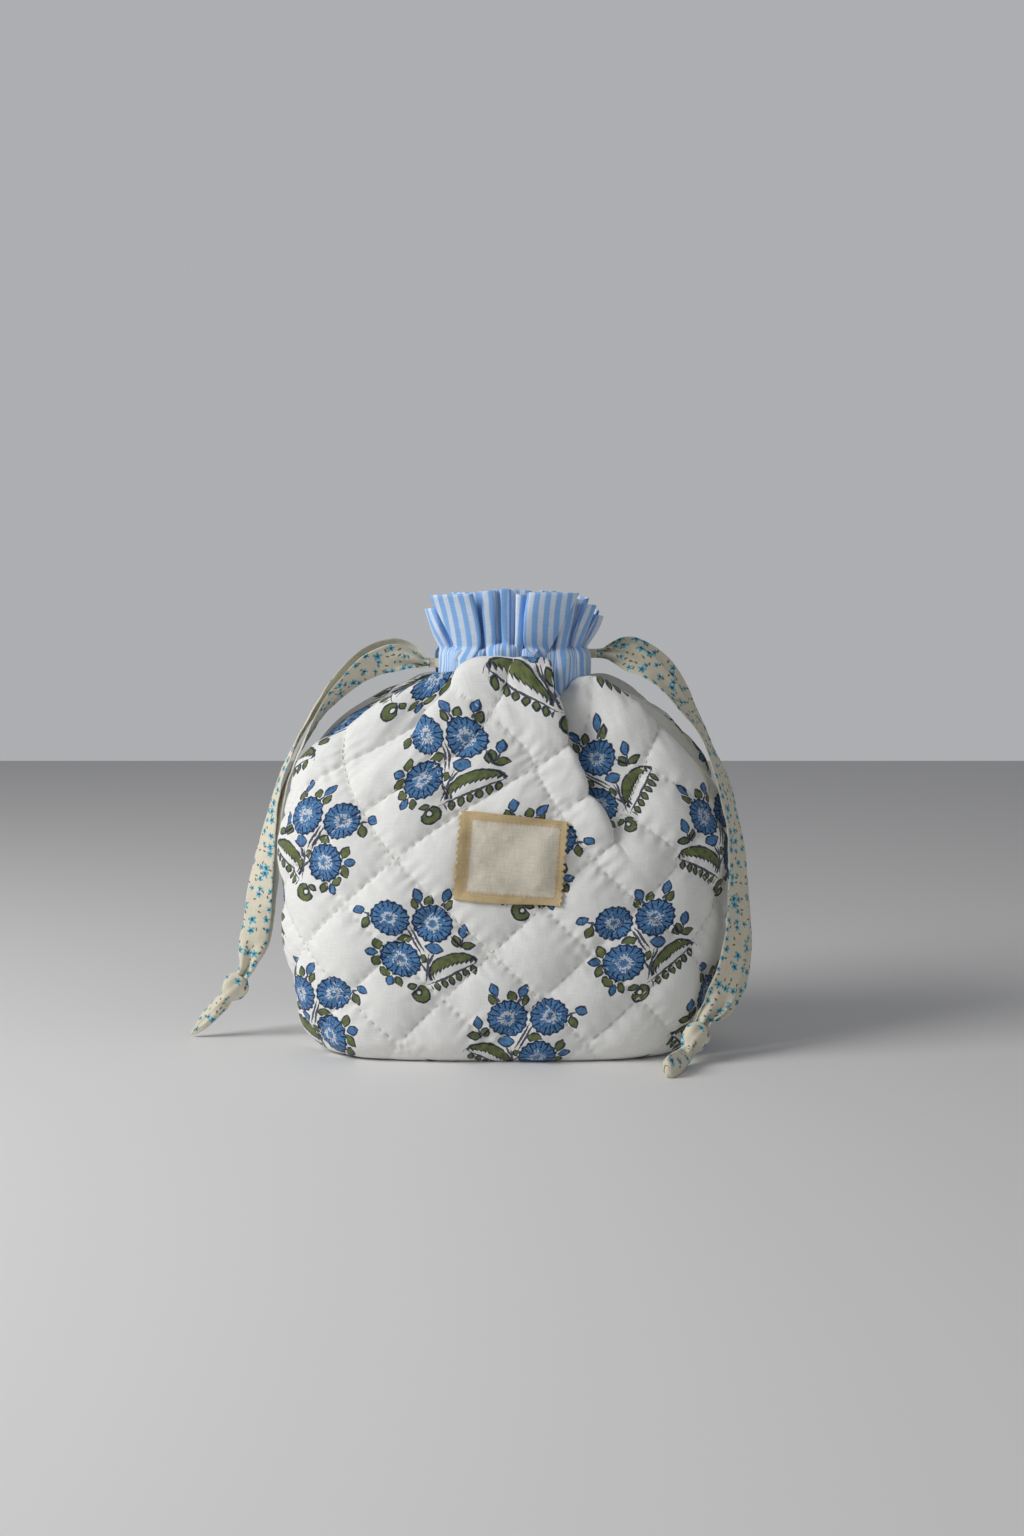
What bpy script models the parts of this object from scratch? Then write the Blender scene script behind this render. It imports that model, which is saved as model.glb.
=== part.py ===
"""A drawstring toiletry bag of quilted cotton, standing full-bodied on a table.

Two quilted panels are sewn together at the sides and under the base. A loose lining
hangs inside. A striped band stands on the neck: it holds the channel of the two
ribbon drawstrings, and the gathered ruffle above it. A small label is sewn on the front.

Metres, Z up. The origin is the middle of the base on the table. The front faces -Y.
A place around the bag is a turn from 0 to 1: 0 is the left seam, 0.25 the middle of
the front, 0.5 the right seam and 0.75 the middle of the back.
"""
import bmesh
import bpy
import numpy as np
from mathutils import Vector
from mathutils.geometry import tessellate_polygon

# Body of the bag, as it stands
BELLY_WIDTH = 0.223
BELLY_DEPTH = 0.1216
NECK_HEIGHT = 0.1865
FLAT_GIRTH = 0.540

# Wall of the quilt and the lining inside it
QUILT_THICKNESS = 0.0034
QUILT_PUFF = 0.0018
PUFF_ROUNDNESS = 0.6
DIAMOND = 0.045
# The stitch lines cross here: share of a diamond beside the middle of the front, and
# length of cloth above the base edge
DIAMOND_SHIFT = 0.125
DIAMOND_START = 0.012
LINING_THICKNESS = 0.0008
LINING_GAP = 0.0008

# Neck: the oval line that the drawstrings pull tight
NECK_WIDTH = 0.0706
NECK_DEPTH = 0.0390
NECK_SHIFT = 0.0045
NECK_SQUARENESS = 2.2
SIDE_DROP = 0.0020

# Striped band: a channel with the ruffle above it
BAND_THICKNESS = 0.0016
BAND_TUCK = 0.0030
CHANNEL_HEIGHT = 0.0120
CHANNEL_SWELL = 0.0038
CHANNEL_BEVEL = 0.0006
RUFFLE_HEIGHT = 0.0265
RUFFLE_FLARE = 0.0048
RUFFLE_WAVE = 0.0048
RUFFLE_SIDE_FALL = 0.0085
# Rows of the ruffle, as shares of its height
RUFFLE_ROWS = (0.3, 0.65, 1.0)
SLIT_WIDTH = 0.0104

# Ribbon of the drawstrings
RIBBON_WIDTH = 0.0150
RIBBON_THICKNESS = 0.0008
CORD_HEIGHT = 0.0044
CORD_THICKNESS = 0.0018
EXIT_REACH = 0.0060
EXIT_STRAIGHT = 0.0032
EXIT_SHARES = (1, 0.85, 0.4)
STRAIGHT_SHARES = (0, 0.4, 1)
# The ribbon opens out to its full width after the slit, and is gathered again at the knot
OPENING_LENGTH = 0.022
CLOSING_LENGTH = 0.020
KNOT_END_SHARE = 0.25

# Sewn-on label
LABEL_WIDTH = 0.053
LABEL_HEIGHT = 0.041
LABEL_THICKNESS = 0.0008
LABEL_X = 0.0033
LABEL_Z = 0.0990
LABEL_TILT = -0.085
LABEL_FIT_ROUNDS = 6
PINK_PITCH = 0.0032
PINK_DEPTH = 0.0012

# Air between pieces that touch
GAP = 0.0003

# Outline of the wall: share of the half width, share of the half depth, share of the
# neck height, and squareness of the oval, from the table upwards
WALL = (
    (0.753, 0.855, 0.000, 3.6),
    (0.816, 0.913, 0.011, 3.6),
    (0.857, 0.954, 0.035, 3.5),
    (0.906, 0.987, 0.086, 3.4),
    (0.933, 1.000, 0.145, 3.2),
    (0.960, 1.000, 0.225, 3.1),
    (0.980, 0.987, 0.311, 3.0),
    (0.994, 0.959, 0.408, 2.9),
    (1.000, 0.918, 0.504, 2.8),
    (0.994, 0.865, 0.595, 2.8),
    (0.960, 0.798, 0.686, 2.7),
    (0.897, 0.732, 0.772, 2.6),
    (0.798, 0.674, 0.845, 2.5),
    (0.682, 0.633, 0.905, 2.5),
    (0.556, 0.595, 0.960, 2.4),
)
# How far the front and the back stand above the sides on the last rows of the wall
WALL_RISE = {12: 0.001, 13: 0.003, 14: 0.005}
# The quilt rolls over into the neck: distance outside the neck line, height over the
# neck height, and how far the front and the back stand above the sides
ROLL = (
    (0.0150, 0.0020, 0.0090),
    (0.0115, 0.0032, 0.0110),
    (0.0080, 0.0018, 0.0075),
    (0.0045, 0.0001, 0.0012),
    (0.0013, 0.0000, 0.0000),
)
# Deep folds that run down from the neck: turn at the neck, how far the turn drifts by
# the base, half widths before and after that turn, depth, height where the fold fades
# out, and dip of the seam
FOLDS = (
    (0.028, 0.000, 0.018, 0.018, 0.008, 0.140, 0.002),
    (0.128, -0.110, 0.026, 0.024, 0.015, 0.118, 0.004),
    (0.336, 0.074, 0.012, 0.032, 0.026, 0.086, 0.014),
    (0.463, 0.010, 0.020, 0.022, 0.010, 0.125, 0.003),
    (0.585, 0.030, 0.022, 0.020, 0.015, 0.105, 0.005),
    (0.688, -0.020, 0.018, 0.026, 0.018, 0.095, 0.007),
    (0.800, 0.010, 0.024, 0.018, 0.015, 0.110, 0.005),
    (0.905, 0.020, 0.020, 0.024, 0.015, 0.100, 0.005),
)
FOLD_FULL_HEIGHT = 0.172
# Room that a fold leaves for the quilt's own thickness beside the neck
FOLD_ROOM = 0.0065
# The dips of the seam and the lean to the neck begin at these shares of the wall
DIP_START = 0.55
LEAN_START = 0.75
# The lining folds wider and deeper than the quilt, so it stays inside
LOOSE_WIDTH = 0.012
LOOSE_DEPTH = 1.25
# Crests of the ruffle's pleats, as turns: a few wide ones, as the photograph shows
PLEAT_CRESTS = (
    0.020, 0.095, 0.160, 0.212, 0.290, 0.370, 0.425, 0.480,
    0.535, 0.595, 0.650, 0.715, 0.775, 0.830, 0.895, 0.950,
)

# Cloths, with their average colours
PRINTED_COTTON = ("printed_cotton", (0.80, 0.81, 0.82))
STRIPED_COTTON = ("striped_cotton", (0.38, 0.58, 0.86))
RIBBON_COTTON = ("ribbon_cotton", (0.78, 0.74, 0.60))
LABEL_COTTON = ("label_cotton", (0.66, 0.56, 0.38))
COTTON_ROUGHNESS = 0.9

# Half panel grids: columns from seam to seam and rows up the wall
PANEL_COLUMNS = 48
LINING_COLUMNS = 24
BASE_ROWS = 2
BAND_COLUMNS = 50
LABEL_COLUMNS = 5
TURN_SAMPLES = 720
CHANNEL_RUN_POINTS = 80
SHARP_ANGLE = 0.7

# Ribbon routes, chosen by hand: x, y, z and the lean of the ribbon's width out of the
# front view in degrees. 0 shows its face to the front, 90 its edge
LEFT_FRONT_ROUTE = (
    (-0.0440, -0.0030, 0.1918, 0),
    (-0.0530, -0.0048, 0.1932, -12),
    (-0.0640, -0.0058, 0.1905, -30),
    (-0.0775, -0.0058, 0.1808, -55),
    (-0.0900, -0.0048, 0.1672, -75),
    (-0.1010, -0.0030, 0.1490, -90),
    (-0.1085, -0.0010, 0.1325, -98),
    (-0.1145, 0.0000, 0.1140, -112),
    (-0.1185, 0.0005, 0.0955, -132),
    (-0.1215, 0.0010, 0.0755, -152),
    (-0.1245, 0.0014, 0.0560, -165),
    (-0.1285, 0.0014, 0.0430, -172),
)
LEFT_BACK_ROUTE = (
    (-0.0440, 0.0032, 0.1930, 0),
    (-0.0540, 0.0045, 0.1955, -12),
    (-0.0658, 0.0032, 0.1934, -30),
    (-0.0792, 0.0010, 0.1845, -55),
    (-0.0926, 0.0000, 0.1696, -75),
    (-0.1040, -0.0010, 0.1512, -90),
    (-0.1120, -0.0015, 0.1338, -98),
    (-0.1175, -0.0015, 0.1146, -112),
    (-0.1210, -0.0022, 0.0952, -132),
    (-0.1232, -0.0028, 0.0752, -152),
    (-0.1255, -0.0030, 0.0565, -165),
    (-0.1288, -0.0028, 0.0442, -172),
)
RIGHT_FRONT_ROUTE = (
    (0.0535, -0.0036, 0.1950, -4),
    (0.0605, -0.0060, 0.1940, -16),
    (0.0690, -0.0080, 0.1902, -34),
    (0.0785, -0.0100, 0.1820, -52),
    (0.0882, -0.0130, 0.1695, -66),
    (0.0985, -0.0160, 0.1550, -72),
    (0.1060, -0.0190, 0.1370, -68),
    (0.1115, -0.0220, 0.1180, -60),
    (0.1142, -0.0255, 0.0985, -52),
    (0.1148, -0.0300, 0.0790, -46),
    (0.1136, -0.0365, 0.0600, -38),
    (0.1092, -0.0435, 0.0410, -26),
    (0.1020, -0.0486, 0.0268, -12),
)
RIGHT_BACK_ROUTE = (
    (0.0535, 0.0036, 0.1962, -4),
    (0.0620, 0.0066, 0.1965, -16),
    (0.0730, 0.0086, 0.1922, -34),
    (0.0845, 0.0086, 0.1822, -55),
    (0.0950, 0.0078, 0.1665, -72),
    (0.1040, 0.0062, 0.1480, -80),
    (0.1124, 0.0035, 0.1285, -76),
    (0.1166, -0.0005, 0.1070, -68),
    (0.1186, -0.0055, 0.0850, -60),
    (0.1192, -0.0125, 0.0640, -52),
    (0.1182, -0.0225, 0.0460, -44),
    (0.1125, -0.0345, 0.0335, -30),
    (0.1050, -0.0440, 0.0256, -14),
)
# Knot and tail, chosen by hand: x, y, z and the radius there
LEFT_KNOT_ROUTE = (
    (-0.1332, 0.0001, 0.0318, 0.0036),
    (-0.1350, 0.0000, 0.0290, 0.0060),
    (-0.1368, 0.0000, 0.0262, 0.0066),
    (-0.1388, 0.0000, 0.0235, 0.0058),
    (-0.1410, 0.0002, 0.0208, 0.0034),
    (-0.1440, 0.0002, 0.0172, 0.0040),
    (-0.1485, 0.0000, 0.0120, 0.0038),
    (-0.1530, -0.0002, 0.0072, 0.0030),
    (-0.1570, 0.0000, 0.0034, 0.0016),
    (-0.1592, 0.0002, 0.0018, 0.0008),
)
RIGHT_KNOT_ROUTE = (
    (0.0952, -0.0515, 0.0177, 0.0034),
    (0.0938, -0.0528, 0.0152, 0.0056),
    (0.0922, -0.0543, 0.0126, 0.0064),
    (0.0906, -0.0560, 0.0100, 0.0058),
    (0.0889, -0.0586, 0.0073, 0.0036),
    (0.0865, -0.0635, 0.0054, 0.0038),
    (0.0835, -0.0710, 0.0047, 0.0040),
    (0.0800, -0.0795, 0.0044, 0.0038),
    (0.0770, -0.0870, 0.0038, 0.0030),
)
KNOT_ROUTES = {"left": LEFT_KNOT_ROUTE, "right": RIGHT_KNOT_ROUTE}
# How much wider a tail ends than its radius says
LEFT_TAIL_FLARE = 1.0
RIGHT_TAIL_FLARE = 1.9
# Distance between the two strands where they enter a knot
STRAND_SPREAD = 0.0030
# Points between two chosen points of a route
ROUTE_STEPS = 3
KNOT_SIDES = 10


def smoothstep(low, high, value):
    share = np.clip((value - low) / (high - low), 0, 1)
    return share * share * (3 - 2 * share)


def smooth_curve(knots, values, at):
    """The values at these places on a smooth curve through the knots."""
    slopes = np.gradient(values, knots, axis=0)
    index = np.clip(np.searchsorted(knots, at) - 1, 0, len(knots) - 2)
    span = (knots[index + 1] - knots[index])[..., None]
    t = (at - knots[index])[..., None] / span
    first, last = values[index], values[index + 1]
    slope_in, slope_out = slopes[index] * span, slopes[index + 1] * span
    return (
        (2 * t**3 - 3 * t**2 + 1) * first
        + (t**3 - 2 * t**2 + t) * slope_in
        + (3 * t**2 - 2 * t**3) * last
        + (t**3 - t**2) * slope_out
    )


def oval(turn, half_width, half_depth, squareness):
    """Points on a squarish oval, evenly spaced along it by turn."""
    angle = np.linspace(0, 2 * np.pi, TURN_SAMPLES + 1)
    radius = (
        np.abs(np.cos(angle) / half_width) ** squareness
        + np.abs(np.sin(angle) / half_depth) ** squareness
    ) ** (-1 / squareness)
    x, y = -radius * np.cos(angle), -radius * np.sin(angle)
    run = np.concatenate([[0], np.cumsum(np.hypot(np.diff(x), np.diff(y)))])
    place = (turn % 1.0) * run[-1]
    return np.stack([np.interp(place, run, x), np.interp(place, run, y)], axis=-1)


def neck_line(turn):
    points = oval(turn, NECK_WIDTH / 2, NECK_DEPTH / 2, NECK_SQUARENESS)
    return points + (NECK_SHIFT, 0)


def neck_outward(turn):
    """Unit vectors that point out of the neck line."""
    step = 1e-3
    along = neck_line(turn + step) - neck_line(turn - step)
    out = np.stack([along[..., 1], -along[..., 0]], axis=-1)
    return out / np.linalg.norm(out, axis=-1, keepdims=True)


def neck_girth():
    corners = neck_line(np.linspace(0, 1, 181))
    return np.hypot(*np.diff(corners, axis=0).T).sum()


def wall_stations():
    """Half width, half depth, height, rise and squareness of each row of the outline."""
    rows = [(0, 0, 0, 0, WALL[0][3])]
    for index, (width, depth, height, squareness) in enumerate(WALL):
        rise = WALL_RISE.get(index, 0)
        rows.append(
            (
                width * BELLY_WIDTH / 2,
                depth * BELLY_DEPTH / 2,
                height * NECK_HEIGHT - rise / 2,
                rise,
                squareness,
            )
        )
    for out, lift, rise in ROLL:
        rows.append(
            (
                NECK_WIDTH / 2 + out,
                NECK_DEPTH / 2 + out,
                NECK_HEIGHT + lift - SIDE_DROP - rise / 2,
                rise + SIDE_DROP,
                NECK_SQUARENESS,
            )
        )
    return np.array(rows)


STATIONS = wall_stations()
# Length of cloth from the edge of the base up the middle of the front
STATION_STEPS = np.hypot(np.diff(STATIONS[:, 1]), np.diff(STATIONS[:, 2]))
CLOTH_RUN = np.concatenate([[0], np.cumsum(STATION_STEPS)]) - STATION_STEPS[0]
WALL_LENGTH = CLOTH_RUN[-1]


def plain_body(turn, height):
    """The bag's surface without folds, at a length of cloth above the base edge."""
    width, depth, level, rise, squareness = smooth_curve(CLOTH_RUN, STATIONS, np.array([height]))[0]
    points = oval(turn, max(width, 1e-6), max(depth, 1e-6), squareness)
    frontal = np.sin(2 * np.pi * turn) ** 2
    z = np.maximum(level + rise * frontal, 0)
    lean = NECK_SHIFT * smoothstep(LEAN_START * NECK_HEIGHT, NECK_HEIGHT, z)
    return np.stack([points[:, 0] + lean, points[:, 1], z], axis=-1)


def plain_outward(turn, height):
    """Unit vectors out of the surface without folds."""
    side, up = 1e-3, 1e-4
    across = plain_body(turn + side, height) - plain_body(turn - side, height)
    upward = plain_body(turn, min(height + up, WALL_LENGTH)) - plain_body(turn, height - up)
    out = np.cross(across, upward)
    length = np.linalg.norm(out, axis=-1, keepdims=True)
    return out / np.maximum(length, 1e-12)


def fold_shares(turn, height, loose):
    """Share of each fold's full depth at these turns, one row for each fold."""
    drop = 1 - height / WALL_LENGTH
    wider = LOOSE_WIDTH if loose else 0
    shares = []
    for centre, drift, before, after, *_ in FOLDS:
        away = (turn - centre - drift * drop + 0.5) % 1.0 - 0.5
        half_width = np.where(away < 0, before, after) + wider
        shares.append(np.exp(-((away / half_width) ** 2)))
    return np.array(shares) * (LOOSE_DEPTH if loose else 1)


def seam_dip(turn, loose=False):
    """How far the deep folds pull the neck seam down."""
    dips = np.array([fold[6] for fold in FOLDS])
    return dips @ fold_shares(turn, WALL_LENGTH, loose)


def puff(turn, height):
    """Height of the quilting over its stitch lines."""
    phase_u = (turn - 0.25) * FLAT_GIRTH / DIAMOND + DIAMOND_SHIFT
    phase_v = (height - DIAMOND_START) / DIAMOND
    lines = np.sin(np.pi * (phase_u + phase_v)) * np.sin(np.pi * (phase_u - phase_v))
    fade = smoothstep(0, 0.5 * DIAMOND, height) * smoothstep(0, DIAMOND, WALL_LENGTH - height)
    return QUILT_PUFF * fade * np.abs(lines) ** PUFF_ROUNDNESS


def body_surface(turn, height, inset=0.0, puffed=False, loose=False):
    """The bag's folded surface, or a surface this far inside it."""
    plain = plain_body(turn, height)
    out = plain_outward(turn, height)
    rim = neck_line(turn) + ROLL[-1][0] * neck_outward(turn)
    inward = rim - plain[:, :2]
    reach = np.linalg.norm(inward, axis=-1)
    push = np.zeros_like(turn)
    for fold, share in zip(FOLDS, fold_shares(turn, height, loose)):
        depth, fade_height = fold[4:6]
        push += depth * share * smoothstep(fade_height, FOLD_FULL_HEIGHT, plain[:, 2])
    push = np.minimum(push, reach**2 / (reach + FOLD_ROOM))
    points = plain - inset * out
    points[:, :2] += inward * (push / np.maximum(reach, 1e-9))[:, None]
    dipping = smoothstep(DIP_START * WALL_LENGTH, WALL_LENGTH, height)
    points[:, 2] -= seam_dip(turn, loose) * dipping
    if puffed:
        points += out * puff(turn, height)[:, None]
    points[:, 2] = np.maximum(points[:, 2], max(inset, 0))
    return points


def rim_height(turn, loose=False):
    return body_surface(turn, WALL_LENGTH, loose=loose)[:, 2]


def half_turns(side, columns, margin=0.0):
    """Turns across one half of the bag, this far from the seams at both ends."""
    start = 0.0 if side == "front" else 0.5
    return start + np.linspace(margin, 0.5 - margin, columns + 1)


def seam_shift(side):
    """Each half keeps clear of the other along the seam."""
    return np.array([0, -GAP / 2 if side == "front" else GAP / 2, 0])


def make_object(name, vertices, faces, colour):
    mesh = bpy.data.meshes.new(name)
    mesh.from_pydata([tuple(v) for v in vertices], [], faces)
    mesh.validate()
    work = bmesh.new()
    work.from_mesh(mesh)
    bmesh.ops.recalc_face_normals(work, faces=work.faces)
    if work.calc_volume(signed=True) < 0:
        bmesh.ops.reverse_faces(work, faces=work.faces)
    work.to_mesh(mesh)
    work.free()
    mesh.shade_smooth()
    mesh.set_sharp_from_angle(angle=SHARP_ANGLE)
    piece = bpy.data.objects.new(name, mesh)
    bpy.context.scene.collection.objects.link(piece)
    material = bpy.data.materials.get(colour[0]) or bpy.data.materials.new(colour[0])
    material.use_nodes = True
    shader = material.node_tree.nodes["Principled BSDF"]
    shader.inputs["Base Color"].default_value = (*colour[1], 1)
    shader.inputs["Roughness"].default_value = COTTON_ROUGHNESS
    shader.inputs["Metallic"].default_value = 0
    mesh.materials.append(material)
    return piece


def shell(name, outer, inner, colour):
    """Two half panels, one inside the other, closed all round their edges.

    Each is a list of rows up the wall. The first row is one point at the middle of the
    base, and the inner one may have half as many rows.
    """
    columns = outer[1].shape[0]
    step = (len(outer) - 1) // (len(inner) - 1)
    vertices, faces = [], []

    def add_sheet(rows, flipped):
        starts = []
        for row in rows:
            starts.append(len(vertices))
            vertices.extend(row)
        for j in range(len(rows) - 1):
            for i in range(columns - 1):
                if j == 0:
                    corners = [starts[0], starts[1] + i + 1, starts[1] + i]
                else:
                    low, high = starts[j] + i, starts[j + 1] + i
                    corners = [low, low + 1, high + 1, high]
                faces.append(corners[::-1] if flipped else corners)
        return starts

    out_starts = add_sheet(outer, False)
    in_starts = add_sheet(inner, True)
    for i in range(columns - 1):
        a, b = out_starts[-1] + i, in_starts[-1] + i
        faces.append([a, a + 1, b + 1, b])
    for edge in (0, columns - 1):
        for j in range(len(inner) - 1):
            chain = []
            for k in range(j * step, (j + 1) * step + 1):
                chain.append(out_starts[k] + (edge if k else 0))
            low = in_starts[j] + (edge if j else 0)
            high = in_starts[j + 1] + edge
            middle = len(chain) // 2
            for k in range(len(chain) - 1):
                anchor = low if k < middle else high
                faces.append([chain[k], chain[k + 1], anchor])
            faces.append([low, chain[middle], high])
    return make_object(name, vertices, faces, colour)


def panel_rows(side, columns, heights, inset=0.0, puffed=False, loose=False):
    turn = half_turns(side, columns)
    shift = seam_shift(side)
    rows = [body_surface(turn[:1], CLOTH_RUN[0], inset)[:1] + shift]
    for height in heights:
        rows.append(body_surface(turn, height, inset, puffed, loose) + shift)
    return rows


def row_heights():
    """Lengths of cloth of the outer rows: across the base, then up the wall to the seam."""
    base = CLOTH_RUN[0] * (1 - np.arange(1, BASE_ROWS) / BASE_ROWS)
    rows = round(WALL_LENGTH / (DIAMOND / 4))
    rows += (rows + BASE_ROWS) % 2
    return np.concatenate([base, np.linspace(0, WALL_LENGTH, rows + 1)])


def make_quilt(side):
    """One panel of the quilt, with its half of the base."""
    heights = row_heights()
    outer = panel_rows(side, PANEL_COLUMNS, heights, 0.0, True)
    inner = panel_rows(side, PANEL_COLUMNS, heights[1::2], QUILT_THICKNESS)
    shell(f"quilted_{side}", outer, inner, PRINTED_COTTON)


def make_lining(side):
    """One half of the lining: it hangs loose and ends under the foot of the band."""
    turn = half_turns(side, LINING_COLUMNS)
    heights = row_heights()[1::2]
    heights = heights[heights < CLOTH_RUN[len(WALL)]]
    level = rim_height(turn, loose=True) - BAND_TUCK - GAP
    sheets = []
    for deeper, edge in ((0, 0.5), (LINING_THICKNESS, -0.5)):
        inset = QUILT_THICKNESS + LINING_GAP + deeper
        rows = panel_rows(side, LINING_COLUMNS, heights, inset, loose=True)
        top = neck_line(turn) + edge * LINING_THICKNESS * neck_outward(turn)
        rows.append(np.column_stack([top, level]) + seam_shift(side))
        sheets.append(rows)
    shell(f"lining_{side}", sheets[0], sheets[1], STRIPED_COTTON)


def pleat_wave(turn):
    """1 on a crest of the pleats and -1 between two crests."""
    crests = np.array(PLEAT_CRESTS)
    count = len(crests)
    places = np.concatenate([crests[-1:] - 1, crests, crests[:1] + 1])
    phase = np.interp(turn % 1.0, places, np.arange(-1, count + 1))
    return np.cos(2 * np.pi * phase)


def make_band(side):
    """One folded strip: the drawstring channel, open at both ends, and the ruffle."""
    turns = half_turns(side, BAND_COLUMNS, 0.5 * SLIT_WIDTH / neck_girth())
    wave = pleat_wave(turns)
    half = BAND_THICKNESS / 2
    pocket = CORD_THICKNESS / 2 + GAP
    skin = pocket + half
    foot = NECK_HEIGHT + GAP
    sole = rim_height(turns) - BAND_TUCK
    top = foot + CHANNEL_HEIGHT
    sections, holes = [], []
    for swell, low in zip(CHANNEL_SWELL * (1 + wave) / 2, sole):
        sections.append(
            [
                (half, low),
                (half, foot - CHANNEL_BEVEL),
                (skin, foot + CHANNEL_BEVEL),
                (skin + swell, foot + CHANNEL_HEIGHT / 2),
                (skin, top - CHANNEL_BEVEL),
                (half, top + CHANNEL_BEVEL),
            ]
        )
        holes.append(
            [
                (pocket, foot + half),
                (pocket + swell, foot + CHANNEL_HEIGHT / 2),
                (pocket, top - half),
                (-pocket, top - half),
                (-pocket - swell, foot + CHANNEL_HEIGHT / 2),
                (-pocket, foot + half),
            ]
        )
    tall = RUFFLE_HEIGHT - RUFFLE_SIDE_FALL * np.cos(2 * np.pi * turns) ** 6
    ruffle = []
    for share in RUFFLE_ROWS:
        level = top + share * tall
        middle = RUFFLE_FLARE * share + RUFFLE_WAVE * share**0.7 * wave
        ruffle.append((middle, level))
    line, out = neck_line(turns), neck_outward(turns)
    vertices, faces = [], []
    for i in range(len(turns)):
        outer = list(sections[i])
        for middle, level in ruffle:
            outer.append((middle[i] + half, level[i]))
        inner = [(-n, z) for n, z in sections[i]]
        for middle, level in ruffle:
            inner.append((middle[i] - half, level[i]))
        for n, z in outer + inner[::-1] + holes[i]:
            x, y = line[i] + n * out[i]
            vertices.append((x, y, z))
    around = 2 * (len(sections[0]) + len(ruffle))
    hole = len(holes[0])
    ring = around + hole
    for i in range(len(turns) - 1):
        a, b = i * ring, (i + 1) * ring
        for k in range(around):
            n = (k + 1) % around
            faces.append([a + k, b + k, b + n, a + n])
        for k in range(hole):
            n = (k + 1) % hole
            faces.append([a + around + k, a + around + n, b + around + n, b + around + k])
    for i in (0, len(turns) - 1):
        first = i * ring
        loops = [
            [Vector(vertices[first + k]) for k in range(around)],
            [Vector(vertices[first + around + k]) for k in range(hole)],
        ]
        for corners in tessellate_polygon(loops):
            faces.append([first + k for k in corners])
    make_object(f"band_{side}", vertices, faces, STRIPED_COTTON)


def ribbon_frames(points, leans):
    """The direction of the ribbon's width and of its thickness at each point."""
    along = np.gradient(points, axis=0)
    along /= np.linalg.norm(along, axis=1, keepdims=True)
    sideways = np.cross(along, (0, 1, 0))
    sideways /= np.linalg.norm(sideways, axis=1, keepdims=True)
    depthways = np.cross(along, sideways)
    cosine, sine = np.cos(leans)[:, None], np.sin(leans)[:, None]
    width = cosine * sideways + sine * depthways
    return width, np.cross(along, width)


def sweep(name, points, width_way, thick_way, widths, thicknesses, sides, colour):
    """A solid swept along points, with an oval or a four-cornered section."""
    offset = np.pi / 4 if sides == 4 else 0
    reach = np.sqrt(2) if sides == 4 else 1
    vertices, faces = [], []
    for i, point in enumerate(points):
        for k in range(sides):
            angle = offset + 2 * np.pi * k / sides
            across = reach * np.cos(angle) * widths[i] / 2
            through = reach * np.sin(angle) * thicknesses[i] / 2
            vertices.append(point + across * width_way[i] + through * thick_way[i])
    for i in range(len(points) - 1):
        a, b = i * sides, (i + 1) * sides
        for k in range(sides):
            n = (k + 1) % sides
            faces.append([a + k, a + n, b + n, b + k])
    faces.append(list(range(sides))[::-1])
    last = (len(points) - 1) * sides
    faces.append([last + k for k in range(sides)])
    return make_object(name, vertices, faces, colour)


def fine_route(route):
    """A smooth route through chosen points, with everything given at each point."""
    route = np.array(route, dtype=float)
    steps = np.linalg.norm(np.diff(route[:, :3], axis=0), axis=1)
    run = np.concatenate([[0], np.cumsum(steps)])
    at = np.linspace(0, run[-1], (len(route) - 1) * ROUTE_STEPS + 1)
    return smooth_curve(run, route, at), at


def cord_level(side):
    """Height of a drawstring in the channel: the left one runs below the right one."""
    middle = NECK_HEIGHT + GAP + CHANNEL_HEIGHT / 2
    offset = (CORD_HEIGHT + GAP) / 2
    return middle - offset if side == "left" else middle + offset


def exit_point(side, way):
    """Where a drawstring leaves the slit: way is -1 for its front end and 1 for its back end."""
    end = -1 if side == "left" else 1
    x = NECK_SHIFT + end * (NECK_WIDTH / 2 + EXIT_REACH)
    return np.array([x, way * (CORD_THICKNESS / 2 + GAP), cord_level(side)])


def make_channel_run(side):
    """The stretch of one drawstring that goes round inside the channel."""
    end = -1 if side == "left" else 1
    start = 0.0 if side == "left" else 0.5
    clear = (0.5 * SLIT_WIDTH + GAP) / neck_girth()
    turns = start + np.linspace(clear, 1 - clear, 2 * BAND_COLUMNS)
    ring = neck_line(turns)
    level = cord_level(side)
    near = CORD_THICKNESS / 2 + GAP
    lead = [NECK_SHIFT + end * (NECK_WIDTH / 2 + share * EXIT_REACH) for share in EXIT_SHARES]
    ends = [(x, end * near) for x in lead]
    flat = np.vstack([ends, ring, [(x, -y) for x, y in reversed(ends)]])
    run = np.concatenate([[0], np.cumsum(np.hypot(*np.diff(flat, axis=0).T))])
    fine = smooth_curve(run, flat, np.linspace(0, run[-1], CHANNEL_RUN_POINTS))
    points = np.column_stack([fine, np.full(len(fine), level)])
    along = np.gradient(points, axis=0)
    along /= np.linalg.norm(along, axis=1, keepdims=True)
    up = np.tile([0.0, 0.0, 1.0], (len(points), 1))
    through = np.cross(along, up)
    count = len(points)
    sweep(
        f"{side}_drawstring_channel", points, up, through,
        np.full(count, CORD_HEIGHT), np.full(count, CORD_THICKNESS), 4, RIBBON_COTTON,
    )


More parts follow.
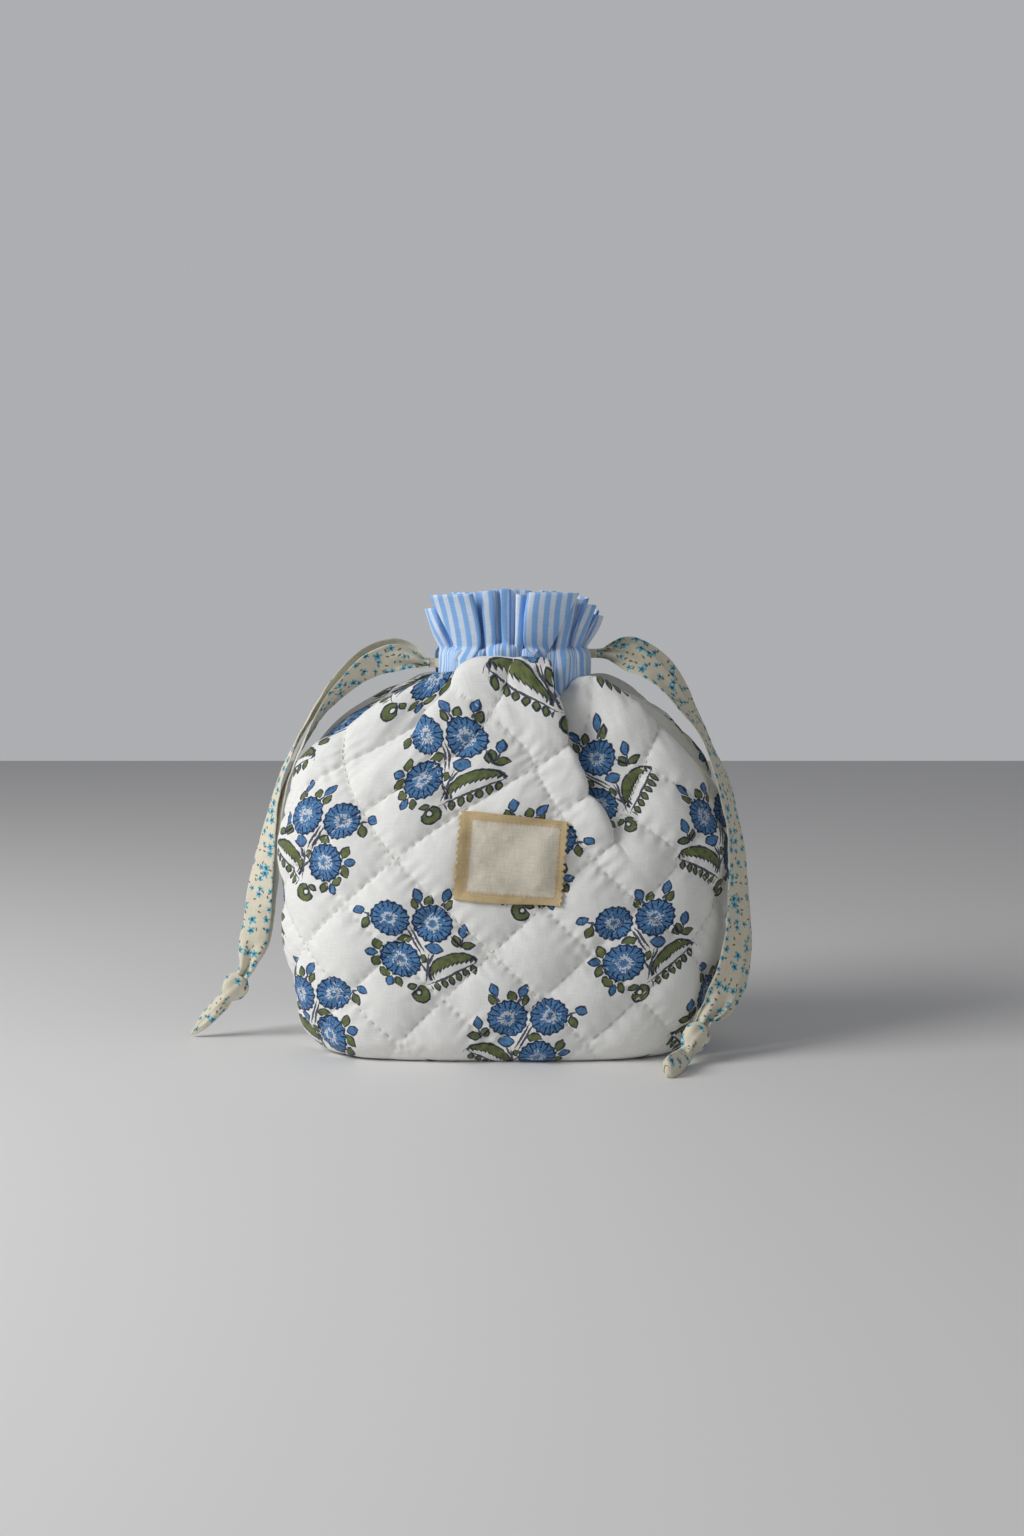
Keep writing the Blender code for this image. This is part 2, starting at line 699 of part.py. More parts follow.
def make_strand(name, side, way, route):
    """A free stretch of ribbon, from the slit to its knot."""
    end = -1 if side == "left" else 1
    start = exit_point(side, way) + (end * GAP, 0, 0)
    lead = [(*(start + (end * share * EXIT_STRAIGHT, 0, 0)), 0) for share in STRAIGHT_SHARES]
    knot = np.array(KNOT_ROUTES[side])[:2, :3]
    into = (knot[1] - knot[0]) / np.linalg.norm(knot[1] - knot[0])
    aside = np.array([0, 1, 0]) - into[1] * into
    aside *= end * way * STRAND_SPREAD / 2 / np.linalg.norm(aside)
    seat = knot[0] + aside - GAP * into
    lean = route[-1][3]
    tail = [(*(seat - share * EXIT_STRAIGHT * into), lean) for share in STRAIGHT_SHARES[::-1]]
    fine, run = fine_route([*lead, *route, *tail])
    points, leans = fine[:, :3], np.radians(fine[:, 3])
    width_way, thick_way = ribbon_frames(points, leans)
    opening = smoothstep(0, OPENING_LENGTH, run)
    closing = smoothstep(0, CLOSING_LENGTH, run[-1] - run)
    flat = np.minimum(opening, closing)
    wide = np.minimum(opening, KNOT_END_SHARE + (1 - KNOT_END_SHARE) * closing)
    widths = CORD_HEIGHT + (RIBBON_WIDTH - CORD_HEIGHT) * wide
    thicknesses = CORD_THICKNESS + (RIBBON_THICKNESS - CORD_THICKNESS) * flat
    sweep(name, points, width_way, thick_way, widths, thicknesses, 4, RIBBON_COTTON)


def make_knot(name, route, flare):
    """A knot with its tail: round at the knot, and as wide as flare says at the tail."""
    fine, run = fine_route(route)
    points, radii = fine[:, :3], fine[:, 3]
    width_way, thick_way = ribbon_frames(points, np.zeros(len(points)))
    spread = 1 + (flare - 1) * smoothstep(0.5 * run[-1], run[-1], run)
    sweep(
        name, points, width_way, thick_way,
        2 * radii * spread, 2 * radii / np.sqrt(spread), KNOT_SIDES, RIBBON_COTTON,
    )


def surface_at(x, z):
    """The point of the front surface at this x and z, and the way out of it there."""
    turn, height = np.array([0.25]), z
    for _ in range(LABEL_FIT_ROUNDS):
        point = body_surface(turn, height)[0]
        turn = turn + (x - point[0]) / FLAT_GIRTH
        height += z - point[2]
    return body_surface(turn, height)[0], plain_outward(turn, height)[0]


def make_label():
    """The sewn-on label, with pinked side edges, on the puffed front."""
    teeth = round(LABEL_HEIGHT / PINK_PITCH)
    rows = 2 * teeth
    columns = LABEL_COLUMNS
    cosine, sine = np.cos(LABEL_TILT), np.sin(LABEL_TILT)
    seat = QUILT_PUFF + GAP
    under, over, faces = [], [], []
    for j in range(rows + 1):
        for i in range(columns + 1):
            across = (i / columns - 0.5) * LABEL_WIDTH
            if i in (0, columns) and j % 2:
                across -= np.sign(across) * PINK_DEPTH
            upward = (j / rows - 0.5) * LABEL_HEIGHT
            x = LABEL_X + across * cosine - upward * sine
            z = LABEL_Z + across * sine + upward * cosine
            point, out = surface_at(x, z)
            under.append(point + seat * out)
            over.append(point + (seat + LABEL_THICKNESS) * out)
    ring = columns + 1
    layer = ring * (rows + 1)
    for j in range(rows):
        for i in range(columns):
            a = j * ring + i
            faces.append([a, a + ring, a + ring + 1, a + 1])
            faces.append([layer + a, layer + a + 1, layer + a + ring + 1, layer + a + ring])
    edge = [i for i in range(columns)]
    edge += [j * ring + columns for j in range(rows)]
    edge += [rows * ring + i for i in range(columns, 0, -1)]
    edge += [j * ring for j in range(rows, 0, -1)]
    for k, a in enumerate(edge):
        b = edge[(k + 1) % len(edge)]
        faces.append([a, b, layer + b, layer + a])
    make_object("label", under + over, faces, LABEL_COTTON)


def clear_scene():
    for thing in list(bpy.data.objects):
        bpy.data.objects.remove(thing, do_unlink=True)


def main():
    clear_scene()
    for side in ("front", "back"):
        make_quilt(side)
        make_lining(side)
        make_band(side)
    make_label()
    for side in ("left", "right"):
        make_channel_run(side)
    make_strand("left_strand_front", "left", -1, LEFT_FRONT_ROUTE)
    make_strand("left_strand_back", "left", 1, LEFT_BACK_ROUTE)
    make_strand("right_strand_front", "right", -1, RIGHT_FRONT_ROUTE)
    make_strand("right_strand_back", "right", 1, RIGHT_BACK_ROUTE)
    make_knot("left_knot", LEFT_KNOT_ROUTE, LEFT_TAIL_FLARE)
    make_knot("right_knot", RIGHT_KNOT_ROUTE, RIGHT_TAIL_FLARE)


main()
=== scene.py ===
# %% [markdown]
# # A quilted drawstring toiletry bag
#
# The real bag is two panels of printed cotton, quilted to their batting, with a gathered
# ruffle of striped cotton at the neck. Two ribbons run round inside the ruffle's channel
# and hang down at the sides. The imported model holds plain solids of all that. This lesson
# dresses them: every cloth becomes a surface worked out with arrays, with its own print,
# weave and stitches.
#
# A frame comes first, so that nothing has to be fitted later. All lengths are in metres.

# %% Load the frame
import math

import bpy
import numpy as np
from mathutils.bvhtree import BVHTree
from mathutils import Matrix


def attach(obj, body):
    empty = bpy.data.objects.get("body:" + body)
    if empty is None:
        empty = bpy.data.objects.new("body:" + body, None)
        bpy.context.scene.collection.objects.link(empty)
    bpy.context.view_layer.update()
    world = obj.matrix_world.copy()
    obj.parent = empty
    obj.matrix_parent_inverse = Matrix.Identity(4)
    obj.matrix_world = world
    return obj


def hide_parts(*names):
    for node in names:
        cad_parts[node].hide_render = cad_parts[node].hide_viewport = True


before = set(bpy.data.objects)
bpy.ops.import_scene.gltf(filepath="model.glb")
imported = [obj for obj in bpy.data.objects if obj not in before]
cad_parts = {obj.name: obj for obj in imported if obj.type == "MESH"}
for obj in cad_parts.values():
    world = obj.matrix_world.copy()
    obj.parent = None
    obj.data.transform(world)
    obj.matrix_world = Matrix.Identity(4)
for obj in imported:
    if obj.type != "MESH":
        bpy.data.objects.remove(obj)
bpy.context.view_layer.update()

# %% [markdown]
# ## Camera
#
# The photograph looks down a little at the front of the bag from about a metre away. The
# camera stands there before anything else is made, because ribbons may only spread as far
# as it can see.

# %% Camera
CAMERA_PLACE = (0.0039, -1.0667, 0.24155)
CAMERA_TILT = 84.431
CAMERA_LENS = 50
CAMERA_SENSOR = 36

camera_data = bpy.data.cameras.new("photo_camera")
camera_data.lens = CAMERA_LENS
camera_data.sensor_width = CAMERA_SENSOR
camera = bpy.data.objects.new("photo_camera", camera_data)
camera.location = CAMERA_PLACE
camera.rotation_euler = (math.radians(CAMERA_TILT), 0, 0)
bpy.context.scene.collection.objects.link(camera)
bpy.context.scene.camera = camera
bpy.context.scene.view_settings.view_transform = "Standard"
print("camera at", CAMERA_PLACE)

# %% [markdown]
# ## Arrays, curves and noise
#
# Every shape below is a function of two numbers on a grid. These helpers ease one value
# into another, draw a smooth curve through chosen points, and make a soft random field.
# Random numbers always come from a seed, so each run gives the same bag.

# %% Curves and noise
def smoothstep(low, high, value):
    """0 below low, 1 above high, and an S-shaped curve between: 3s^2 - 2s^3."""
    share = np.clip((value - low) / (high - low), 0, 1)
    return share * share * (3 - 2 * share)


def smooth_curve(knots, values, at):
    """A cubic through the knots whose slope at each knot is the mean slope beside it."""
    slopes = np.gradient(values, knots, axis=0)
    index = np.clip(np.searchsorted(knots, at) - 1, 0, len(knots) - 2)
    span = (knots[index + 1] - knots[index])[..., None]
    t = (at - knots[index])[..., None] / span
    first, last = values[index], values[index + 1]
    slope_in, slope_out = slopes[index] * span, slopes[index + 1] * span
    return (
        (2 * t**3 - 3 * t**2 + 1) * first
        + (t**3 - 2 * t**2 + t) * slope_in
        + (3 * t**2 - 2 * t**3) * last
        + (t**3 - t**2) * slope_out
    )


def running_length(points):
    """Distance along a row of points, 0 at the first."""
    steps = np.linalg.norm(np.diff(points, axis=0), axis=1)
    return np.concatenate([[0.0], np.cumsum(steps)])


def unit(vectors):
    """Vectors of length 1."""
    length = np.linalg.norm(vectors, axis=-1, keepdims=True)
    return vectors / np.maximum(length, 1e-12)


NOISE_TABLE = 64


def soft_noise(x, y, seed):
    """Smooth random values from -1 to 1: random corners of a unit grid, eased between."""
    table = np.random.default_rng(seed).uniform(-1, 1, (NOISE_TABLE, NOISE_TABLE))
    column, row = np.floor(x).astype(int), np.floor(y).astype(int)
    across, up = smoothstep(0, 1, x - column), smoothstep(0, 1, y - row)
    left, right = column % NOISE_TABLE, (column + 1) % NOISE_TABLE
    low, high = row % NOISE_TABLE, (row + 1) % NOISE_TABLE
    bottom = table[low, left] * (1 - across) + table[low, right] * across
    top = table[high, left] * (1 - across) + table[high, right] * across
    return bottom * (1 - up) + top * up


def rough_noise(x, y, seed, layers=3):
    """Soft noise with finer and weaker copies of itself added."""
    total = np.zeros_like(x)
    for layer in range(layers):
        total = total + soft_noise(x * 2**layer, y * 2**layer, seed + layer) / 2**layer
    return total / (2 - 0.5 ** (layers - 1))


# %% [markdown]
# ## From arrays to meshes
#
# A grid of points becomes a mesh in one go, without a loop over its points. Each piece
# also keeps where every point was on the flat cloth, in millimetres, in an attribute
# called cloth. Prints, stripes and weave read that attribute, so they bend and gather
# with the cloth.

# %% Mesh tools
def grid_quads(rows, columns, ring=False, start=0):
    """Corners of the quads between the points of a grid. A ring joins its last column to
    its first."""
    count = columns if ring else columns - 1
    i, j = np.meshgrid(np.arange(count), np.arange(rows - 1))
    near, far = j * columns + i, j * columns + (i + 1) % columns
    return start + np.stack([near, far, far + columns, near + columns], axis=-1).reshape(-1, 4)


def grid_normals(points, ring=False):
    """Unit normals of a grid: the cross product of its steps along columns and rows."""
    if ring:
        across = np.roll(points, -1, axis=1) - np.roll(points, 1, axis=1)
    else:
        across = np.gradient(points, axis=1)
    return unit(np.cross(across, np.gradient(points, axis=0)))


def make_piece(name, points, faces, cloth=None, body="root", material=None):
    """A mesh object from points and lists of faces, which rides on a body."""
    points = np.asarray(points, dtype=float).reshape(-1, 3)
    faces = [np.asarray(part, dtype=int) for part in faces if len(part)]
    corners = np.concatenate([part.ravel() for part in faces])
    sizes = np.concatenate([np.full(len(part), part.shape[1]) for part in faces])
    mesh = bpy.data.meshes.new(name)
    mesh.vertices.add(len(points))
    mesh.vertices.foreach_set("co", points.ravel())
    mesh.loops.add(len(corners))
    mesh.loops.foreach_set("vertex_index", corners)
    mesh.polygons.add(len(sizes))
    mesh.polygons.foreach_set("loop_start", np.cumsum(sizes) - sizes)
    if cloth is not None:
        given = np.asarray(cloth, dtype=float).reshape(len(points), -1) * 1000
        place = np.zeros((len(points), 3))
        place[:, : given.shape[1]] = given
        layer = mesh.attributes.new("cloth", "FLOAT_VECTOR", "POINT")
        layer.data.foreach_set("vector", place.ravel())
    mesh.update(calc_edges=True)
    mesh.validate()
    mesh.shade_smooth()
    piece = bpy.data.objects.new(name, mesh)
    bpy.context.scene.collection.objects.link(piece)
    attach(piece, body)
    if material:
        mesh.materials.append(material)
    triangles = int((sizes - 2).sum())
    print(f"{name}: {len(points)} points, {triangles} triangles")
    return piece


# %% [markdown]
# ## Shader tools
#
# The print, the stripes and the weave are drawn by shader nodes, as block printing and
# weaving draw them: with a few shapes that repeat. Three small helpers keep that short.
# Each adds one node, links or sets what goes in, and gives back the socket that comes out.

# %% Node helpers
def put(tree, socket, value):
    """Link a socket to a node's input, or set the input to a plain value."""
    if isinstance(value, bpy.types.NodeSocket):
        tree.links.new(value, socket)
    elif value is not None:
        socket.default_value = value


def calculate(tree, operation, *values, clamp=False):
    """One Math node."""
    node = tree.nodes.new("ShaderNodeMath")
    node.operation = operation
    node.use_clamp = clamp
    for socket, value in zip(node.inputs, values):
        put(tree, socket, value)
    return node.outputs[0]


def arrow(tree, operation, *values, out="Vector"):
    """One Vector Math node."""
    node = tree.nodes.new("ShaderNodeVectorMath")
    node.operation = operation
    for socket, value in zip(node.inputs, values):
        put(tree, socket, value)
    return node.outputs[out]


def ease(tree, value, low, high):
    """0 below low and 1 above high, as a Map Range node eases it."""
    node = tree.nodes.new("ShaderNodeMapRange")
    node.interpolation_type = "SMOOTHSTEP"
    put(tree, node.inputs["Value"], value)
    put(tree, node.inputs["From Min"], low)
    put(tree, node.inputs["From Max"], high)
    return node.outputs["Result"]


def blend_colour(tree, share, first, second):
    """One Mix node for colours."""
    node = tree.nodes.new("ShaderNodeMix")
    node.data_type = "RGBA"
    put(tree, node.inputs[0], share)
    put(tree, node.inputs[6], first)
    put(tree, node.inputs[7], second)
    return node.outputs[2]


def noise(tree, place, size, detail=2.0, out="Fac", roughness=0.5):
    """One Noise Texture node, whose patches are about this size in millimetres."""
    node = tree.nodes.new("ShaderNodeTexNoise")
    put(tree, node.inputs["Vector"], place)
    node.inputs["Scale"].default_value = 1 / size
    node.inputs["Detail"].default_value = detail
    node.inputs["Roughness"].default_value = roughness
    return node.outputs[out]


def stencil(tree, place, centre, turn, size):
    """Coordinates in which a shape at this centre, turned by degrees, is 1 in radius."""
    node = tree.nodes.new("ShaderNodeMapping")
    node.vector_type = "TEXTURE"
    put(tree, node.inputs["Vector"], place)
    node.inputs["Location"].default_value = (*centre, 0)
    node.inputs["Rotation"].default_value = (0, 0, math.radians(turn))
    node.inputs["Scale"].default_value = (*size, 1)
    return node.outputs[0]


def parts_of(tree, place):
    """The x and y of a vector."""
    node = tree.nodes.new("ShaderNodeSeparateXYZ")
    put(tree, node.inputs[0], place)
    return node.outputs[0], node.outputs[1]


def new_group(name, inputs, outputs):
    """A node group with named sockets, and its input and output nodes."""
    tree = bpy.data.node_groups.new(name, "ShaderNodeTree")
    for label, kind in inputs:
        tree.interface.new_socket(label, in_out="INPUT", socket_type=kind)
    for label, kind in outputs:
        tree.interface.new_socket(label, in_out="OUTPUT", socket_type=kind)
    return tree, tree.nodes.new("NodeGroupInput").outputs, tree.nodes.new("NodeGroupOutput").inputs


def use_group(tree, group, **values):
    """A placed group, with its inputs linked or set by name."""
    node = tree.nodes.new("ShaderNodeGroup")
    node.node_tree = group
    for label, value in values.items():
        put(tree, node.inputs[label.replace("_", " ")], value)
    return node.outputs


# %% [markdown]
# ## Weave
#
# Plain cotton is threads that pass over and under each other.

# %% Weave group
def build_weave():
    tree, given, result = new_group(
        "cotton_weave",
        [("Cloth", "NodeSocketVector"), ("Pitch", "NodeSocketFloat")],
        [("Height", "NodeSocketFloat"), ("Yarn", "NodeSocketFloat")],
    )
    steps = arrow(tree, "SCALE", given["Cloth"], None, None, calculate(tree, "DIVIDE", math.pi, given["Pitch"]))
    across, along = parts_of(tree, steps)
    checks = calculate(tree, "MULTIPLY", calculate(tree, "SINE", across), calculate(tree, "SINE", along))
    warp = noise(tree, arrow(tree, "MULTIPLY", given["Cloth"], (2.2, 0.16, 1)), 1.0, 1.0)
    weft = noise(tree, arrow(tree, "MULTIPLY", given["Cloth"], (0.16, 2.2, 1)), 1.0, 1.0)
    yarn = calculate(tree, "ADD", warp, weft)
    lifted = calculate(tree, "MULTIPLY_ADD", checks, 0.30, yarn)
    put(tree, result["Height"], lifted)
    put(tree, result["Yarn"], calculate(tree, "MULTIPLY", yarn, 0.5))
    return tree


WEAVE = build_weave()

# %% [markdown]
# ## The block print
#
# The cloth is printed with carved blocks, as such cotton traditionally is. One block
# holds three round flowers, a toothed leaf, a curled leaf and small sprigs. Columns of it
# are half dropped and every other column is mirrored. Each shape is a distance in
# millimetres that is below zero inside it. A union is the smaller of two distances. The
# ink edges wander with noise on the flat cloth, so no two prints are quite the same.

# %% Print values, in millimetres of flat cloth
COLUMN_PITCH = 50.0
DROP_PITCH = 88.0
PRINT_START = (95.0, 69.0)
QUILT_PITCH = 45.0
QUILT_START = (0.125 - 3.0, -12.0 / 45.0)
# Middle, reach and shift of each place where the drape has pulled the print
PRINT_DRIFTS = (
    ((135, 95), (85, 400), (0.0, 9.0)),
    ((92, 160), (34, 34), (9.0, 0.0)),
    ((182, 135), (26, 42), (0.0, 12.0)),
    ((72, 20), (26, 40), (0.0, -8.0)),
)
MOTIF_SCALE = 0.92
HAND_WOBBLE = 1.5
HAND_WOBBLE_SIZE = 6.0
FLOWER_PETALS = 17
FLOWERS = (
    ((-11.8, 11.0), 9.6),
    ((8.9, 10.8), 10.0),
    ((-6.8, -11.4), 10.3),
)
# Centre, turn, length and width of each leaf
GREEN_LEAVES = (
    ((-4.6, 0.4), 12, 7.4, 4.8),
    ((6.8, 22.4), 66, 6.6, 4.2),
    ((16.4, 20.8), 56, 6.8, 3.6),
    ((0.2, 20.0), 112, 6.0, 3.4),
    ((-23.8, 7.0), 64, 7.2, 4.2),
    ((20.4, 2.6), 104, 6.6, 4.6),
    ((25.8, 0.6), 4, 7.4, 3.8),
    ((-18.0, -4.8), 112, 7.2, 4.6),
    ((-18.8, -14.8), 66, 7.0, 4.4),
    ((-14.6, -20.6), 136, 6.8, 4.4),
    ((-7.6, -24.6), 108, 6.0, 3.6),
    ((4.2, -8.8), 70, 5.2, 4.0),
    ((-1.4, -25.6), 24, 5.4, 3.0),
)
BLUE_BUDS = (
    ((1.4, 25.0), 118, 7.2, 4.6),
    ((15.6, 26.2), 66, 7.4, 4.2),
    ((-27.4, 13.4), 22, 6.4, 4.4),
    ((-21.0, -9.8), 172, 6.4, 4.2),
    ((9.8, -2.2), 172, 8.8, 5.8),
    ((23.8, 7.8), 84, 7.4, 4.2),
    ((-12.0, -25.2), 74, 6.2, 3.6),
)
# Start and end of each stem
STEMS = (
    ((-3.6, 7.0), (3.4, -6.4)),
    ((-1.9, 7.4), (5.2, -5.2)),
    ((7.4, -5.8), (5.4, -21.6)),
    ((2.6, -11.0), (7.4, -17.8)),
    ((-25.2, 12.6), (-20.2, 11.6)),
    ((-23.4, 9.8), (-21.0, 12.2)),
    ((22.4, -0.8), (23.8, 4.6)),
    ((17.8, 5.4), (22.6, -0.6)),
    ((2.2, 21.8), (4.8, 18.4)),
    ((14.8, 22.6), (12.4, 19.4)),
    ((6.2, -23.2), (30.2, -7.8)),
    ((-10.8, -21.8), (-9.4, -18.8)),
    ((9.8, -5.0), (6.8, -11.8)),
)
STEM_WIDTH = 1.35
LONG_STEM = 10
COMB_CENTRE = (19.8, -14.4)
COMB_TURN = 25
COMB_OUTER = (13.4, 10.2)
COMB_INNER = (12.2, 4.0)
COMB_SHIFT = (1.2, 0.0)
COMB_TEETH_PITCH = 2.3
COMB_TEETH_DEPTH = 1.1
TOOTH_LEAF_PITCH = 4.2
TOOTH_LEAF_DROP = -2.5
CURL_CENTRE = (2.2, -28.6)
CURL_RADIUS = 3.1
CURL_WIDTH = 1.65
OUTLINE_WIDTH = 0.44

COTTON_WHITE = (0.83, 0.825, 0.80, 1)
INK_BLUE = (0.028, 0.200, 0.43, 1)
INK_DEEP_BLUE = (0.012, 0.085, 0.27, 1)
INK_NAVY = (0.005, 0.013, 0.050, 1)
INK_GREEN = (0.125, 0.165, 0.018, 1)
INK_DARK_GREEN = (0.050, 0.075, 0.012, 1)


# %% Shapes of the block
def leaf_shape(tree, place, centre, turn, length, width):
    """A pointed leaf: |y| + x squared - 1 in its own coordinates, times half its width."""
    x, y = parts_of(tree, stencil(tree, place, centre, turn, (length / 2, width / 2)))
    belly = calculate(tree, "MULTIPLY_ADD", x, x, -1.0)
    edge = calculate(tree, "ADD", calculate(tree, "ABSOLUTE", y), belly)
    return calculate(tree, "MULTIPLY", edge, width / 2)


def union(tree, shapes):
    """The smallest of several distances."""
    total = shapes[0]
    for shape in shapes[1:]:
        total = calculate(tree, "MINIMUM", total, shape)
    return total


def circle_shape(tree, place, centre, radius):
    away = arrow(tree, "DISTANCE", place, (*centre, 0), out="Value")
    return calculate(tree, "SUBTRACT", away, radius)


def stem_shapes(tree, place):
    """Stems are very thin leaves from their start to their end."""
    shapes = []
    for start, end in STEMS:
        dx, dy = end[0] - start[0], end[1] - start[1]
        centre = ((start[0] + end[0]) / 2, (start[1] + end[1]) / 2)
        turn = math.degrees(math.atan2(dy, dx))
        shapes.append(leaf_shape(tree, place, centre, turn, math.hypot(dx, dy) * 1.1, STEM_WIDTH))
    return shapes


def oval_shape(tree, place, centre, turn, radii):
    """Distance to a slanted oval: the length in its own coordinates, less 1, times its
    shorter radius."""
    length = arrow(tree, "LENGTH", stencil(tree, place, centre, turn, radii), out="Value")
    return calculate(tree, "MULTIPLY_ADD", length, min(radii), -min(radii))


def comb_shape(tree, place):
    """The upper half of an oval without a flatter oval, with saw teeth along that one."""
    slanted = stencil(tree, place, COMB_CENTRE, COMB_TURN, (1, 1))
    x, y = parts_of(tree, slanted)
    outer = oval_shape(tree, slanted, (0, 0), 0, COMB_OUTER)
    inner = oval_shape(tree, slanted, COMB_SHIFT, 0, COMB_INNER)
    saw = calculate(tree, "FRACT", calculate(tree, "DIVIDE", x, COMB_TEETH_PITCH))
    inner = calculate(tree, "MULTIPLY_ADD", saw, COMB_TEETH_DEPTH, calculate(tree, "MULTIPLY", inner, -1.0))
    lower = calculate(tree, "MULTIPLY", y, -1.0)
    return calculate(tree, "MAXIMUM", calculate(tree, "MAXIMUM", outer, inner), lower)


def tooth_leaf_shape(tree, place):
    """Small leaves in a row under the long stem, by wrapping the way along it."""
    start, end = STEMS[LONG_STEM]
    turn = math.degrees(math.atan2(end[1] - start[1], end[0] - start[0]))
    x, y = parts_of(tree, stencil(tree, place, start, turn, (1, 1)))
    step = calculate(tree, "WRAP", x, TOOTH_LEAF_PITCH / 2, -TOOTH_LEAF_PITCH / 2)
    node = tree.nodes.new("ShaderNodeCombineXYZ")
    put(tree, node.inputs[0], step)
    put(tree, node.inputs[1], y)
    row = leaf_shape(tree, node.outputs[0], (0, TOOTH_LEAF_DROP), 74, 5.0, 2.9)
    length = math.hypot(end[0] - start[0], end[1] - start[1])
    ends = calculate(tree, "ABSOLUTE", calculate(tree, "SUBTRACT", x, length / 2))
    return calculate(tree, "MAXIMUM", row, calculate(tree, "SUBTRACT", ends, length / 2 - 1.5))


def curl_shape(tree, place):
    """Three quarters of a ring: the distance to its circle, cut by a slanted line."""
    local = stencil(tree, place, CURL_CENTRE, -35, (1, 1))
    radius = arrow(tree, "LENGTH", local, out="Value")
    ring = calculate(tree, "ABSOLUTE", calculate(tree, "SUBTRACT", radius, CURL_RADIUS))
    x, _ = parts_of(tree, local)
    taper = calculate(tree, "MULTIPLY_ADD", x, 0.22, CURL_WIDTH)
    ring = calculate(tree, "SUBTRACT", ring, calculate(tree, "MINIMUM", taper, 1.9))
    return calculate(tree, "MAXIMUM", ring, calculate(tree, "MULTIPLY_ADD", x, -1.0, -2.2))


# %% The print group
def drifted(tree, cloth):
    """The cloth's place plus a few bell curves: where the drape has pulled the print."""
    place = cloth
    for centre, reach, shift in PRINT_DRIFTS:
        away = arrow(tree, "LENGTH", stencil(tree, cloth, centre, 0, reach), out="Value")
        bell = calculate(tree, "EXPONENT", calculate(tree, "MULTIPLY", calculate(tree, "MULTIPLY", away, away), -1.0))
        node = tree.nodes.new("ShaderNodeVectorMath")
        node.operation = "SCALE"
        node.inputs[0].default_value = (*shift, 0)
        put(tree, node.inputs["Scale"], bell)
        place = arrow(tree, "ADD", place, node.outputs[0])
    return place


